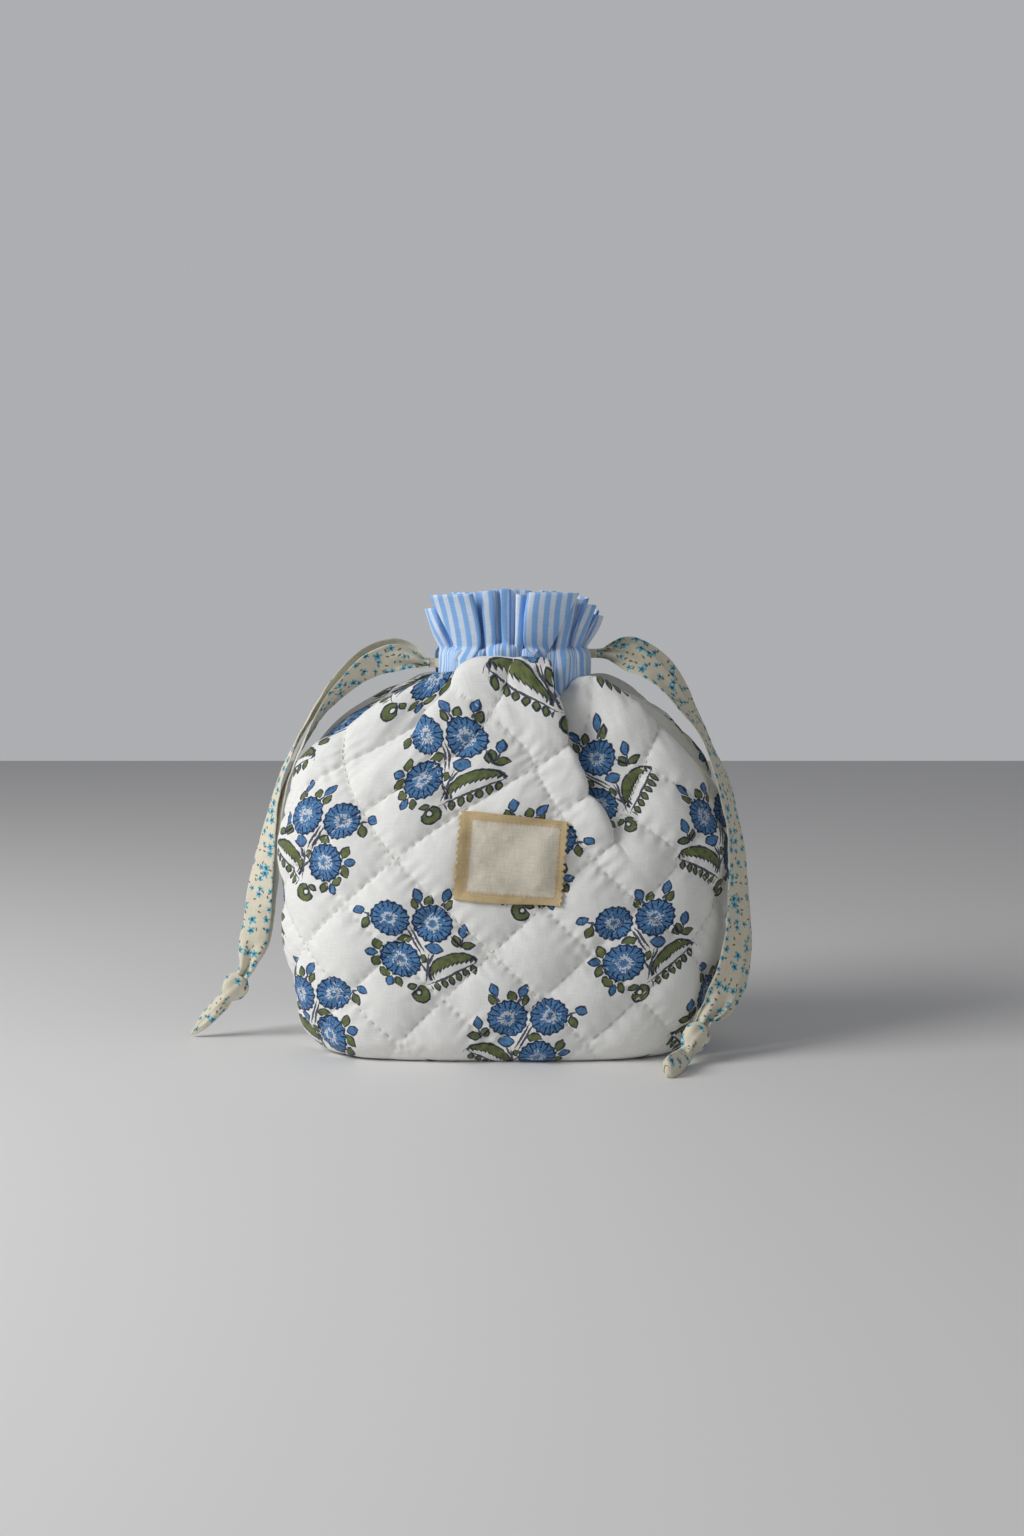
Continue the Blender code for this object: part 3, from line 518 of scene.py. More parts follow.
def build_print():
    tree, given, result = new_group(
        "block_print",
        [("Cloth", "NodeSocketVector")],
        [("Color", "NodeSocketColor"), ("Ink", "NodeSocketFloat")],
    )
    cloth = given["Cloth"]
    start = arrow(tree, "SUBTRACT", drifted(tree, cloth), (*PRINT_START, 0))
    high = (COLUMN_PITCH, DROP_PITCH / 2, 1)
    low = (-COLUMN_PITCH, -DROP_PITCH / 2, -1)
    plain = arrow(tree, "WRAP", start, high, low)
    dropped = arrow(tree, "SUBTRACT", start, (COLUMN_PITCH, DROP_PITCH / 2, 0))
    dropped = arrow(tree, "MULTIPLY", arrow(tree, "WRAP", dropped, high, low), (-1, 1, 1))
    nearer = calculate(
        tree,
        "LESS_THAN",
        arrow(tree, "LENGTH", dropped, out="Value"),
        arrow(tree, "LENGTH", plain, out="Value"),
    )
    choice = tree.nodes.new("ShaderNodeMix")
    choice.data_type = "VECTOR"
    put(tree, choice.inputs[0], nearer)
    put(tree, choice.inputs[4], plain)
    put(tree, choice.inputs[5], dropped)
    drift = arrow(tree, "SUBTRACT", noise(tree, cloth, HAND_WOBBLE_SIZE, 3.0, out="Color"), (0.5, 0.5, 0.5))
    drift = arrow(tree, "MULTIPLY", drift, (HAND_WOBBLE, HAND_WOBBLE, 0))
    place = arrow(tree, "ADD", choice.outputs[1], drift)
    place = arrow(tree, "DIVIDE", place, (MOTIF_SCALE, MOTIF_SCALE, 1))

    grain = noise(tree, cloth, 1.1, 2.0)
    patches = noise(tree, cloth, 3.4, 2.0)
    rough = calculate(tree, "SUBTRACT", grain, 0.5)

    petals, near = None, None
    for centre, radius in FLOWERS:
        local = stencil(tree, place, centre, 10 * radius, (radius, radius))
        away = arrow(tree, "LENGTH", local, out="Value")
        if petals is None:
            petals, near = local, away
            continue
        closer = calculate(tree, "LESS_THAN", away, near)
        pick = tree.nodes.new("ShaderNodeMix")
        pick.data_type = "VECTOR"
        put(tree, pick.inputs[0], closer)
        put(tree, pick.inputs[4], petals)
        put(tree, pick.inputs[5], local)
        petals = pick.outputs[1]
        near = calculate(tree, "MINIMUM", near, away)
    x, y = parts_of(tree, petals)
    angle = calculate(tree, "ARCTAN2", y, x)
    beat = calculate(tree, "COSINE", calculate(tree, "MULTIPLY", angle, FLOWER_PETALS))
    scallop = calculate(tree, "MULTIPLY_ADD", beat, -0.035, calculate(tree, "SUBTRACT", near, 0.97))
    scallop = calculate(tree, "MULTIPLY_ADD", rough, 0.14, scallop)
    flower = calculate(tree, "LESS_THAN", scallop, 0.0)
    ray = calculate(tree, "ABSOLUTE", calculate(tree, "SINE", calculate(tree, "MULTIPLY", angle, FLOWER_PETALS / 2)))
    ray = calculate(tree, "MULTIPLY", ray, near)
    ray_width = calculate(tree, "MULTIPLY_ADD", rough, 0.55, 0.30)
    ray_start = calculate(tree, "MULTIPLY_ADD", patches, 0.85, 0.16)
    ray = calculate(tree, "MULTIPLY", calculate(tree, "LESS_THAN", ray, ray_width), calculate(tree, "GREATER_THAN", near, ray_start))
    ray = calculate(tree, "MULTIPLY", ray, calculate(tree, "LESS_THAN", near, 1.0))
    rim = calculate(tree, "ABSOLUTE", calculate(tree, "ADD", scallop, 0.02))
    rim_width = calculate(tree, "MULTIPLY_ADD", rough, 0.20, 0.046)
    rim = calculate(tree, "LESS_THAN", rim, rim_width)
    heart_edge = calculate(tree, "MULTIPLY_ADD", patches, -0.75, calculate(tree, "ADD", near, 0.03))
    spokes = calculate(tree, "MULTIPLY_ADD", beat, 0.07, heart_edge)
    white_heart = calculate(tree, "LESS_THAN", calculate(tree, "MULTIPLY_ADD", rough, 0.8, spokes), 0.0)
    blue_heart = calculate(tree, "LESS_THAN", calculate(tree, "MULTIPLY_ADD", rough, 0.5, near), 0.20)
    blue_heart = calculate(tree, "MULTIPLY", blue_heart, calculate(tree, "GREATER_THAN", patches, 0.42))

    leaves = [leaf_shape(tree, place, *leaf) for leaf in GREEN_LEAVES]
    leaves += [comb_shape(tree, place), tooth_leaf_shape(tree, place), curl_shape(tree, place)]
    leaf = calculate(tree, "MULTIPLY_ADD", rough, 0.5, union(tree, leaves))
    buds = [leaf_shape(tree, place, *bud) for bud in BLUE_BUDS]
    bud = calculate(tree, "MULTIPLY_ADD", rough, 0.5, union(tree, buds))
    stems = calculate(tree, "MULTIPLY_ADD", rough, 0.9, union(tree, stem_shapes(tree, place)))

    leaf_ink = calculate(tree, "LESS_THAN", leaf, 0.0)
    bud_ink = calculate(tree, "LESS_THAN", bud, 0.0)
    outlines = calculate(tree, "MINIMUM", calculate(tree, "ABSOLUTE", leaf), calculate(tree, "ABSOLUTE", bud))
    outline_width = calculate(tree, "MULTIPLY_ADD", patches, 1.5, OUTLINE_WIDTH - 0.75)
    navy = calculate(tree, "LESS_THAN", outlines, outline_width)
    navy = calculate(tree, "MAXIMUM", navy, calculate(tree, "LESS_THAN", stems, 0.0))
    outside = calculate(tree, "GREATER_THAN", near, 1.02)
    navy = calculate(tree, "MULTIPLY", navy, outside)
    for line in (ray, rim):
        navy = calculate(tree, "MAXIMUM", navy, line)
    blue = calculate(tree, "MAXIMUM", flower, calculate(tree, "MULTIPLY", bud_ink, outside))
    blue = calculate(tree, "MULTIPLY", blue, calculate(tree, "SUBTRACT", 1.0, white_heart))
    blue = calculate(tree, "MAXIMUM", blue, blue_heart)
    green = calculate(tree, "MULTIPLY", leaf_ink, outside)

    mottle = ease(tree, noise(tree, cloth, 2.3, 3.0), 0.30, 0.72)
    blue_colour = blend_colour(tree, mottle, INK_BLUE, INK_DEEP_BLUE)
    bleed = calculate(tree, "MULTIPLY", ease(tree, scallop, 0.09, -0.02), 0.34)
    blue = calculate(tree, "MAXIMUM", blue, bleed)
    blue_share = calculate(tree, "MULTIPLY", blue, calculate(tree, "MULTIPLY_ADD", grain, 0.34, 0.76))
    green_colour = blend_colour(tree, mottle, INK_GREEN, INK_DARK_GREEN)
    colour = blend_colour(tree, blue_share, COTTON_WHITE, blue_colour)
    colour = blend_colour(tree, calculate(tree, "MULTIPLY", green, 0.94), colour, green_colour)
    colour = blend_colour(tree, calculate(tree, "MULTIPLY", navy, 0.90), colour, INK_NAVY)
    ink = calculate(tree, "MAXIMUM", calculate(tree, "MAXIMUM", blue, green), navy)
    put(tree, result["Color"], colour)
    put(tree, result["Ink"], ink)
    return tree


PRINT = build_print()
print("print group has", len(PRINT.nodes), "nodes")


# %% The printed cotton
def cloth_material(name, roughness, sheen, sheen_roughness=0.5):
    """A material with a Principled shader, and the socket that reads the cloth's place."""
    material = bpy.data.materials.new(name)
    material.use_nodes = True
    tree = material.node_tree
    shader = tree.nodes["Principled BSDF"]
    shader.inputs["Roughness"].default_value = roughness
    shader.inputs["Specular IOR Level"].default_value = 0.25
    shader.inputs["Sheen Weight"].default_value = sheen
    shader.inputs["Sheen Roughness"].default_value = sheen_roughness
    place = tree.nodes.new("ShaderNodeAttribute")
    place.attribute_name = "cloth"
    return material, tree, shader, place.outputs["Vector"]


def add_weave(tree, shader, cloth, pitch, strength, distance, colour, depth, extra=None):
    """Weave bump on the normal, and a little light and shade of the yarns on the colour."""
    weave = use_group(tree, WEAVE, Cloth=cloth, Pitch=pitch)
    dull = calculate(tree, "MULTIPLY", ease(tree, weave["Yarn"], 0.38, 0.62), depth)
    darker = arrow(tree, "SCALE", colour, None, None, calculate(tree, "SUBTRACT", 1.0, dull))
    put(tree, shader.inputs["Base Color"], darker)
    bump = tree.nodes.new("ShaderNodeBump")
    bump.inputs["Strength"].default_value = strength
    bump.inputs["Distance"].default_value = distance
    height = weave["Height"]
    if extra is not None:
        height = calculate(tree, "ADD", height, extra)
    put(tree, bump.inputs["Height"], height)
    put(tree, shader.inputs["Normal"], bump.outputs[0])
    return weave


def pucker_height(tree, cloth):
    """Fine creases square to the stitch lines of both families, fading away from them."""
    x, y = parts_of(tree, cloth)
    u = calculate(tree, "MULTIPLY_ADD", x, 1 / QUILT_PITCH, QUILT_START[0])
    v = calculate(tree, "MULTIPLY_ADD", y, 1 / QUILT_PITCH, QUILT_START[1])
    rising = calculate(tree, "ADD", u, v)
    falling = calculate(tree, "SUBTRACT", u, v)
    side = QUILT_PITCH / math.sqrt(2)
    total = None
    for line, along in ((rising, falling), (falling, rising)):
        number = calculate(tree, "ROUND", line)
        away = calculate(tree, "MULTIPLY", calculate(tree, "ABSOLUTE", calculate(tree, "SUBTRACT", line, number)), side)
        spot = tree.nodes.new("ShaderNodeCombineXYZ")
        put(tree, spot.inputs[0], calculate(tree, "MULTIPLY", along, side / 2.4))
        put(tree, spot.inputs[1], calculate(tree, "MULTIPLY_ADD", away, 1 / 9.0, calculate(tree, "MULTIPLY", number, 7.3)))
        ridges = noise(tree, spot.outputs[0], 1.0, 2.0)
        bell = calculate(tree, "EXPONENT", calculate(tree, "MULTIPLY", away, -1 / 4.5))
        part = calculate(tree, "MULTIPLY", ridges, bell)
        total = part if total is None else calculate(tree, "ADD", total, part)
    return total


def build_printed_cotton():
    material, tree, shader, cloth = cloth_material("printed_cotton", 0.85, 0.12)
    drawn = use_group(tree, PRINT, Cloth=cloth)
    wrinkles = noise(tree, arrow(tree, "MULTIPLY", cloth, (1.0, 0.45, 1)), 2.6, 3.0)
    height = calculate(tree, "MULTIPLY", wrinkles, 3.0)
    height = calculate(tree, "MULTIPLY_ADD", pucker_height(tree, cloth), 9.0, height)
    add_weave(tree, shader, cloth, 0.42, 0.35, 0.00012, drawn["Color"], 0.07, height)
    return material


PRINTED_COTTON = build_printed_cotton()


# %% [markdown]
# ## The body's shape
#
# The frame's two quilted panels follow one formula, and the dressed panels follow it too.
# A place on the cloth is a turn from 0 to 1 around the bag (0 the left seam, 0.25 the
# middle of the front) and a length of cloth above the edge of the base. Each height has
# its own squarish oval, and deep folds pull the oval in towards the drawn neck.

# %% Sizes of the body
BELLY_WIDTH = 0.223
BELLY_DEPTH = 0.1216
NECK_HEIGHT = 0.1865
FLAT_GIRTH = 0.540
QUILT_THICKNESS = 0.0034
DIAMOND = 0.045
DIAMOND_SHIFT = 0.125
DIAMOND_START = 0.012
NECK_WIDTH = 0.0706
NECK_DEPTH = 0.0390
NECK_SHIFT = 0.0045
NECK_SQUARENESS = 2.2
SIDE_DROP = 0.0020
GAP = 0.0003
WALL = (
    (0.753, 0.855, 0.000, 3.6),
    (0.816, 0.913, 0.011, 3.6),
    (0.857, 0.954, 0.035, 3.5),
    (0.906, 0.987, 0.086, 3.4),
    (0.933, 1.000, 0.145, 3.2),
    (0.960, 1.000, 0.225, 3.1),
    (0.980, 0.987, 0.311, 3.0),
    (0.994, 0.959, 0.408, 2.9),
    (1.000, 0.918, 0.504, 2.8),
    (0.994, 0.865, 0.595, 2.8),
    (0.960, 0.798, 0.686, 2.7),
    (0.897, 0.732, 0.772, 2.6),
    (0.798, 0.674, 0.845, 2.5),
    (0.682, 0.633, 0.905, 2.5),
    (0.556, 0.595, 0.960, 2.4),
)
WALL_RISE = {12: 0.001, 13: 0.003, 14: 0.005}
ROLL = (
    (0.0150, 0.0020, 0.0090),
    (0.0115, 0.0032, 0.0110),
    (0.0080, 0.0018, 0.0075),
    (0.0045, 0.0001, 0.0012),
    (0.0013, 0.0000, 0.0000),
)
LEAN_START = 0.75
OVAL_SAMPLES = 720

# %% Rows of the outline
def outline_stations():
    """Half width, half depth, height, rise and squareness of each row of the outline."""
    rows = [(0, 0, 0, 0, WALL[0][3])]
    for index, (width, depth, height, squareness) in enumerate(WALL):
        rise = WALL_RISE.get(index, 0)
        level = height * NECK_HEIGHT - rise / 2
        rows.append((width * BELLY_WIDTH / 2, depth * BELLY_DEPTH / 2, level, rise, squareness))
    for out, lift, rise in ROLL:
        level = NECK_HEIGHT + lift - SIDE_DROP - rise / 2
        half_width, half_depth = NECK_WIDTH / 2 + out, NECK_DEPTH / 2 + out
        rows.append((half_width, half_depth, level, rise + SIDE_DROP, NECK_SQUARENESS))
    return np.array(rows)


STATIONS = outline_stations()
STATION_STEPS = np.hypot(np.diff(STATIONS[:, 1]), np.diff(STATIONS[:, 2]))
CLOTH_RUN = np.concatenate([[0], np.cumsum(STATION_STEPS)]) - STATION_STEPS[0]
WALL_LENGTH = CLOTH_RUN[-1]
print("cloth from the base edge to the neck:", round(WALL_LENGTH, 4), "m")


def oval_rows(turn, half_width, half_depth, squareness):
    """Points on squarish ovals, one row for each size, evenly spaced along each by turn.

    The radius at an angle is (|cos/a|^n + |sin/b|^n)^(-1/n)."""
    angle = np.linspace(0, 2 * np.pi, OVAL_SAMPLES + 1)

    def ring(at, a, b, n):
        radius = (np.abs(np.cos(at) / a) ** n + np.abs(np.sin(at) / b) ** n) ** (-1 / n)
        return np.stack([-radius * np.cos(at), -radius * np.sin(at)], axis=-1)

    rows = []
    for a, b, n in zip(half_width, half_depth, squareness):
        run = running_length(ring(angle, a, b, n))
        rows.append(ring(np.interp(turn % 1.0 * run[-1], run, angle), a, b, n))
    return np.array(rows)


def neck_line(turn):
    """The oval that the drawstrings pull tight, seen from above."""
    half_width, half_depth = [NECK_WIDTH / 2], [NECK_DEPTH / 2]
    ring = oval_rows(turn, half_width, half_depth, [NECK_SQUARENESS])[0]
    return ring + (NECK_SHIFT, 0)


def neck_outward(turn):
    """Unit vectors that point out of the neck line."""
    step = 1e-3
    along = neck_line(turn + step) - neck_line(turn - step)
    return unit(np.stack([along[..., 1], -along[..., 0]], axis=-1))


def plain_body(turn, height):
    """The body without folds, one row of points for each height."""
    width, depth, level, rise, squareness = smooth_curve(CLOTH_RUN, STATIONS, height).T
    points = oval_rows(turn, np.maximum(width, 1e-6), np.maximum(depth, 1e-6), squareness)
    frontal = np.sin(2 * np.pi * turn) ** 2
    z = np.maximum(level[:, None] + rise[:, None] * frontal, 0)
    lean = NECK_SHIFT * smoothstep(LEAN_START * NECK_HEIGHT, NECK_HEIGHT, z)
    return np.stack([points[..., 0] + lean, points[..., 1], z], axis=-1)


# %% [markdown]
# ## Folds
#
# Drawing the neck tight throws the cloth into lobes with deep valleys between them. Each
# valley has a place at the neck, a drift on its way down, a width on each side, a depth,
# and the height where it fades out. The one beside the front lobe is the deepest: its left
# side hangs over it, so the valley is also pushed sideways under the lobe.

# %% Fold values
# Turns of the valley on its way down, half widths before and after, depth, height where
# the fold fades out, and sideways push of the valley
FOLD_DROPS = (0.0, 0.16, 0.40, 1.0)
FOLDS = (
    ((0.028, 0.028, 0.028, 0.028), 0.018, 0.018, 0.008, 0.140, 0.000),
    ((0.128, 0.110, 0.084, 0.018), 0.026, 0.024, 0.015, 0.118, 0.002),
    ((0.338, 0.328, 0.352, 0.410), 0.009, 0.036, 0.031, 0.086, -0.014),
    ((0.463, 0.465, 0.467, 0.473), 0.020, 0.022, 0.010, 0.125, 0.000),
    ((0.585, 0.590, 0.597, 0.615), 0.022, 0.020, 0.015, 0.105, 0.003),
    ((0.688, 0.685, 0.680, 0.668), 0.018, 0.026, 0.018, 0.095, -0.004),
    ((0.800, 0.802, 0.804, 0.810), 0.024, 0.018, 0.015, 0.110, 0.003),
    ((0.905, 0.908, 0.913, 0.925), 0.020, 0.024, 0.015, 0.100, -0.003),
)
# Turn, half width and depth of each dip in the panels' upper edge
RIM_DIPS = (
    (0.028, 0.018, 0.002),
    (0.128, 0.025, 0.004),
    (0.366, 0.026, 0.016),
    (0.463, 0.021, 0.003),
    (0.585, 0.021, 0.005),
    (0.688, 0.022, 0.007),
    (0.800, 0.021, 0.005),
    (0.905, 0.022, 0.005),
)
FOLD_FULL_HEIGHT = 0.172
FOLD_ROOM = 0.0065
DIP_START = 0.55


def fold_shares(turn, height):
    """Each fold's share of its full depth, on the grid of heights and turns: a bell curve
    around its valley."""
    drop = 1 - height[:, None] / WALL_LENGTH
    shares = []
    for path, before, after, *_ in FOLDS:
        centre = np.interp(drop, FOLD_DROPS, path)
        away = (turn[None, :] - centre + 0.5) % 1.0 - 0.5
        half_width = np.where(away < 0, before, after)
        shares.append(np.exp(-((away / half_width) ** 2)))
    return np.array(shares)


def folded_body(turn, height):
    """The body with its folds, and how deep in a fold each point is, from 0 to 1."""
    plain = plain_body(turn, height)
    rim = neck_line(turn) + ROLL[-1][0] * neck_outward(turn)
    inward = rim - plain[..., :2]
    reach = np.linalg.norm(inward, axis=-1)
    sideways = np.gradient(plain[..., :2], axis=1)
    sideways /= np.maximum(np.linalg.norm(sideways, axis=-1, keepdims=True), 1e-9)
    push, slide, hidden = np.zeros_like(reach), np.zeros_like(reach), np.zeros_like(reach)
    shares = fold_shares(turn, height)
    for fold, share in zip(FOLDS, shares):
        depth, fade_height, side_push = fold[3:6]
        strength = share * smoothstep(fade_height, FOLD_FULL_HEIGHT, plain[..., 2])
        push += depth * strength
        slide += side_push * strength * smoothstep(FOLD_ROOM, 4 * FOLD_ROOM, reach)
        hidden += strength
    push = np.minimum(push, reach**2 / (reach + FOLD_ROOM))
    points = plain.copy()
    points[..., :2] += inward * (push / np.maximum(reach, 1e-9))[..., None]
    points[..., :2] += sideways * slide[..., None]
    dips = np.zeros_like(turn)
    for centre, half_width, depth in RIM_DIPS:
        away = (turn - centre + 0.5) % 1.0 - 0.5
        dips += depth * np.exp(-((away / half_width) ** 2))
    points[..., 2] -= dips * smoothstep(DIP_START * WALL_LENGTH, WALL_LENGTH, height)[:, None]
    return points, hidden


# %% [markdown]
# ## The quilted panels
#
# A quilt is a sandwich, stitched through along crossing diagonals. Between the lines the
# batting lifts the cloth like a pillow, and the thread pulls small puckers into it. The
# flat cloth is wider than the way round the drawn neck: what is left over lies in the
# valleys. So a row's real length gives the place on the cloth along the lobes, and the
# rest is taken up inside the folds. Print and quilting follow that place.

# %% Quilt values
PANEL_COLUMNS = 336
PANEL_ROWS = 256
BASE_SHARE = 0.16
PUFF_HEIGHT = 0.0040
FURROW_DEPTH = 0.0012
PUCKER_LENGTH = 0.0074
PUCKER_HEIGHT = 0.00050
PUCKER_REACH = 0.0075
STITCH_PITCH = 0.0042
STITCH_PULL = 0.00030
STITCH_REACH = 0.0016
SAG_HEIGHT = 0.0016
SAG_SIZE = 0.034
CREASE_HEIGHT = 0.0007
SEAM_PULL = 0.0030
SEAM_REACH = 0.0065
SIDES = {"front": 0.0, "back": 0.5}


def cloth_across(points, hidden):
    """Where each point is across the flat panel: along the lobes as long as the row is,
    and in the valleys what the row is too short for."""
    steps = np.linalg.norm(np.diff(points, axis=1), axis=-1)
    rows = np.concatenate([np.zeros((len(points), 1)), np.cumsum(steps, axis=1)], axis=1)
    belly = rows[:, -1].max()
    panel = FLAT_GIRTH / 2
    steps = steps * panel / belly
    missing = panel - steps.sum(axis=1, keepdims=True)
    valley = 0.5 * (hidden[:, 1:] + hidden[:, :-1]) ** 2 + 1e-3
    steps = steps + missing * valley / valley.sum(axis=1, keepdims=True)
    places = np.concatenate([np.zeros((len(points), 1)), np.cumsum(steps, axis=1)], axis=1)
    return places


def quilt_relief(across, height, turn_start):
    """Height of the quilted surface over the plain one.

    The two families of stitch lines are |sin| waves of across plus and minus height. The
    pillow between them is their product, rounded, and each line has puckers beside it."""
    u = (across + turn_start * FLAT_GIRTH - FLAT_GIRTH / 4) / DIAMOND + DIAMOND_SHIFT
    v = (height - DIAMOND_START) / DIAMOND
    rising, falling = u + v, u - v
    pillow = np.abs(np.sin(np.pi * rising) * np.sin(np.pi * falling)) ** 0.50
    relief = PUFF_HEIGHT * pillow - FURROW_DEPTH
    half_line = DIAMOND / math.sqrt(2)
    for family, (line, along) in enumerate(((rising, falling), (falling, rising))):
        number = np.round(line)
        away = np.abs(line - number) * half_line
        run = along * half_line
        wobble = soft_noise(run / 0.018, number * 1.7, 31 + family)
        wave = np.sin(2 * np.pi * (run / PUCKER_LENGTH + number * 0.37 + 0.5 * wobble))
        strength = 0.5 + 0.5 * soft_noise(run / 0.012, number * 2.3, 41 + family)
        fade = np.exp(-((away / PUCKER_REACH) ** 2)) * smoothstep(0, 0.0016, away)
        relief = relief + PUCKER_HEIGHT * strength * wave * fade
        pull = np.cos(2 * np.pi * run / STITCH_PITCH) * np.exp(-((away / STITCH_REACH) ** 2))
        relief = relief - STITCH_PULL * pull
    return relief


def make_panel(side):
    """Grids of the panel's points, of its normals, and of the place across the cloth."""
    start = SIDES[side]
    turn = start + np.linspace(0, 0.5, PANEL_COLUMNS + 1)
    base_rows = round(PANEL_ROWS * BASE_SHARE)
    base = np.linspace(CLOTH_RUN[0], 0, base_rows, endpoint=False)
    height = np.concatenate([base, np.linspace(0, WALL_LENGTH, PANEL_ROWS - base_rows + 1)])
    points, hidden = folded_body(turn, height)
    across = cloth_across(points[base_rows:], hidden[base_rows:])
    across = np.concatenate([np.tile(across[0], (base_rows, 1)), across])
    level = height[:, None] + 0 * across
    normals = grid_normals(points)
    normals[0] = (0, 0, -1)
    low = smoothstep(-0.002, 0.016, level)
    high = smoothstep(0, 0.020, WALL_LENGTH - level)
    place = across + start * FLAT_GIRTH
    sag = rough_noise(place / SAG_SIZE, level / SAG_SIZE, 7) * SAG_HEIGHT
    drawn = smoothstep(0.45 * WALL_LENGTH, WALL_LENGTH, level)
    crease = rough_noise(place / 0.011, level / 0.048, 17) * CREASE_HEIGHT * (0.5 + 1.6 * drawn)
    relief = low * high * (quilt_relief(across, level, start) + sag + crease)
    edge = np.minimum(across, FLAT_GIRTH / 2 - across)
    relief = relief - SEAM_PULL * low * np.exp(-((edge / SEAM_REACH) ** 2))
    points = points + normals * relief[..., None]
    points[..., 1] += -GAP / 2 if side == "front" else GAP / 2
    points[..., 2] = np.maximum(points[..., 2], 0)
    return {"turn": turn, "height": height, "across": place, "points": points, "base": base_rows}


panels = {side: make_panel(side) for side in SIDES}
print("panel grid", panels["front"]["points"].shape)


def shell_of(outer, inner, step):
    """Points and faces of a closed shell: a fine outer grid and a coarse inner one.

    Both start in one point at the middle of the base. The coarse grid has every step-th
    row and column, and fans join the two along the edges."""
    rows, columns = outer.shape[:2]
    in_rows, in_columns = inner.shape[:2]
    outside = outer[1:].reshape(-1, 3)
    inside = inner[1:].reshape(-1, 3)
    second = len(outside)
    poles = second + len(inside)
    points = np.concatenate([outside, inside, outer[0, :1], inner[0, :1]])
    quads = [
        grid_quads(rows - 1, columns),
        grid_quads(in_rows - 1, in_columns, start=second)[:, ::-1],
    ]
    near = np.arange(columns - 1)
    fan_out = np.stack([np.full(columns - 1, poles), near + 1, near], axis=-1)
    near = np.arange(in_columns - 1)
    fan_in = np.stack([np.full(in_columns - 1, poles + 1), second + near, second + near + 1], axis=-1)

    def rim(fine, coarse):
        """Triangles between a fine edge and a coarse one with every step-th point."""
        k = np.arange(len(fine) - 1)
        anchor = coarse[(k + step // 2) // step]
        fans = np.stack([fine[:-1], anchor, fine[1:]], axis=-1)
        gaps = np.arange(len(coarse) - 1)
        turn = np.minimum(gaps * step + (step + 1) // 2, len(fine) - 1)
        return np.concatenate([fans, np.stack([fine[turn], coarse[:-1], coarse[1:]], axis=-1)])

    out_grid = np.arange(second).reshape(rows - 1, columns)
    in_grid = second + np.arange(len(inside)).reshape(in_rows - 1, in_columns)
    top = rim(out_grid[-1], in_grid[-1])
    left_fine = np.concatenate([[poles], out_grid[:, 0]])
    left_coarse = np.concatenate([[poles + 1], in_grid[:, 0]])
    right_fine = np.concatenate([[poles], out_grid[:, -1]])
    right_coarse = np.concatenate([[poles + 1], in_grid[:, -1]])
    left = rim(left_fine, left_coarse)[:, ::-1]
    right = rim(right_fine, right_coarse)
    return points, [*quads, fan_out, fan_in, top[:, ::-1], left, right]


# %% Make the panels
INNER_STEP = 8
quilt_pieces = {}
for side, panel in panels.items():
    outer = panel["points"]
    plain, _ = folded_body(panel["turn"], panel["height"])
    inward = -grid_normals(plain)
    inward[0] = (0, 0, 1)
    inner = (plain + QUILT_THICKNESS * inward)[::INNER_STEP, ::INNER_STEP]
    inner[..., 1] += -GAP / 2 if side == "front" else GAP / 2
    inner[..., 2] = np.maximum(inner[..., 2], QUILT_THICKNESS)
    points, faces = shell_of(outer, inner, INNER_STEP)
    level = panel["height"][:, None] + 0 * panel["across"]
    cloth = np.stack([panel["across"], level], axis=-1)
    inner_cloth = cloth[::INNER_STEP, ::INNER_STEP]
    flat = [cloth[1:], inner_cloth[1:], cloth[0, :1], inner_cloth[0, :1]]
    cloth = np.concatenate([part.reshape(-1, 2) for part in flat])
    piece = make_piece(f"quilt_{side}", points, faces, cloth, material=PRINTED_COTTON)
    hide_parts(f"quilted_{side}")
    quilt_pieces[side] = piece

# %% [markdown]
# ## Cloth with a thickness
#
# A strip of cloth is one grid of points, offset half its thickness to each side and closed
# round its rim. The attribute's third number tells the two sides apart, since a ribbon is
# printed on one side only.

# %% Thick sheets
def thick_sheet(points, cloth, thickness):
    """A closed sheet from a grid: points, faces and cloth places, thinned to its edges if
    thickness is a grid too."""
    rows, columns = points.shape[:2]
    offset = grid_normals(points) * (np.asarray(thickness) / 2 + np.zeros((rows, columns)))[..., None]
    count = rows * columns
    both = np.concatenate([(points + offset).reshape(-1, 3), (points - offset).reshape(-1, 3)])
    face = grid_quads(rows, columns)
    back = face[:, ::-1] + count
    number = np.arange(count).reshape(rows, columns)
    rim = np.concatenate([number[0, :-1], number[:-1, -1], number[-1, :0:-1], number[:0:-1, 0]])
    ahead = np.roll(rim, -1)
    edge = np.stack([ahead, rim, rim + count, ahead + count], axis=-1)
    place = np.zeros((2 * count, 3))
    place[:, :2] = np.tile(cloth.reshape(-1, 2), (2, 1))
    place[count:, 2] = 0.001
    return both, [face, back, edge], place


# %% [markdown]
# ## The striped ruffle
#
# One strip of striped cotton is folded double, sewn to the neck, and stitched again above
# it, which makes the channel of the drawstrings. Above the channel the cloth stands up as
# a ruffle. Seen from above it meanders: outwards as a flattened cosine along the pleats,
# and sideways as a sine of twice that rate, which makes the pleats overhang like an S. In
# each pleat the cloth keeps its width: what a row is too short for lies in the valley.

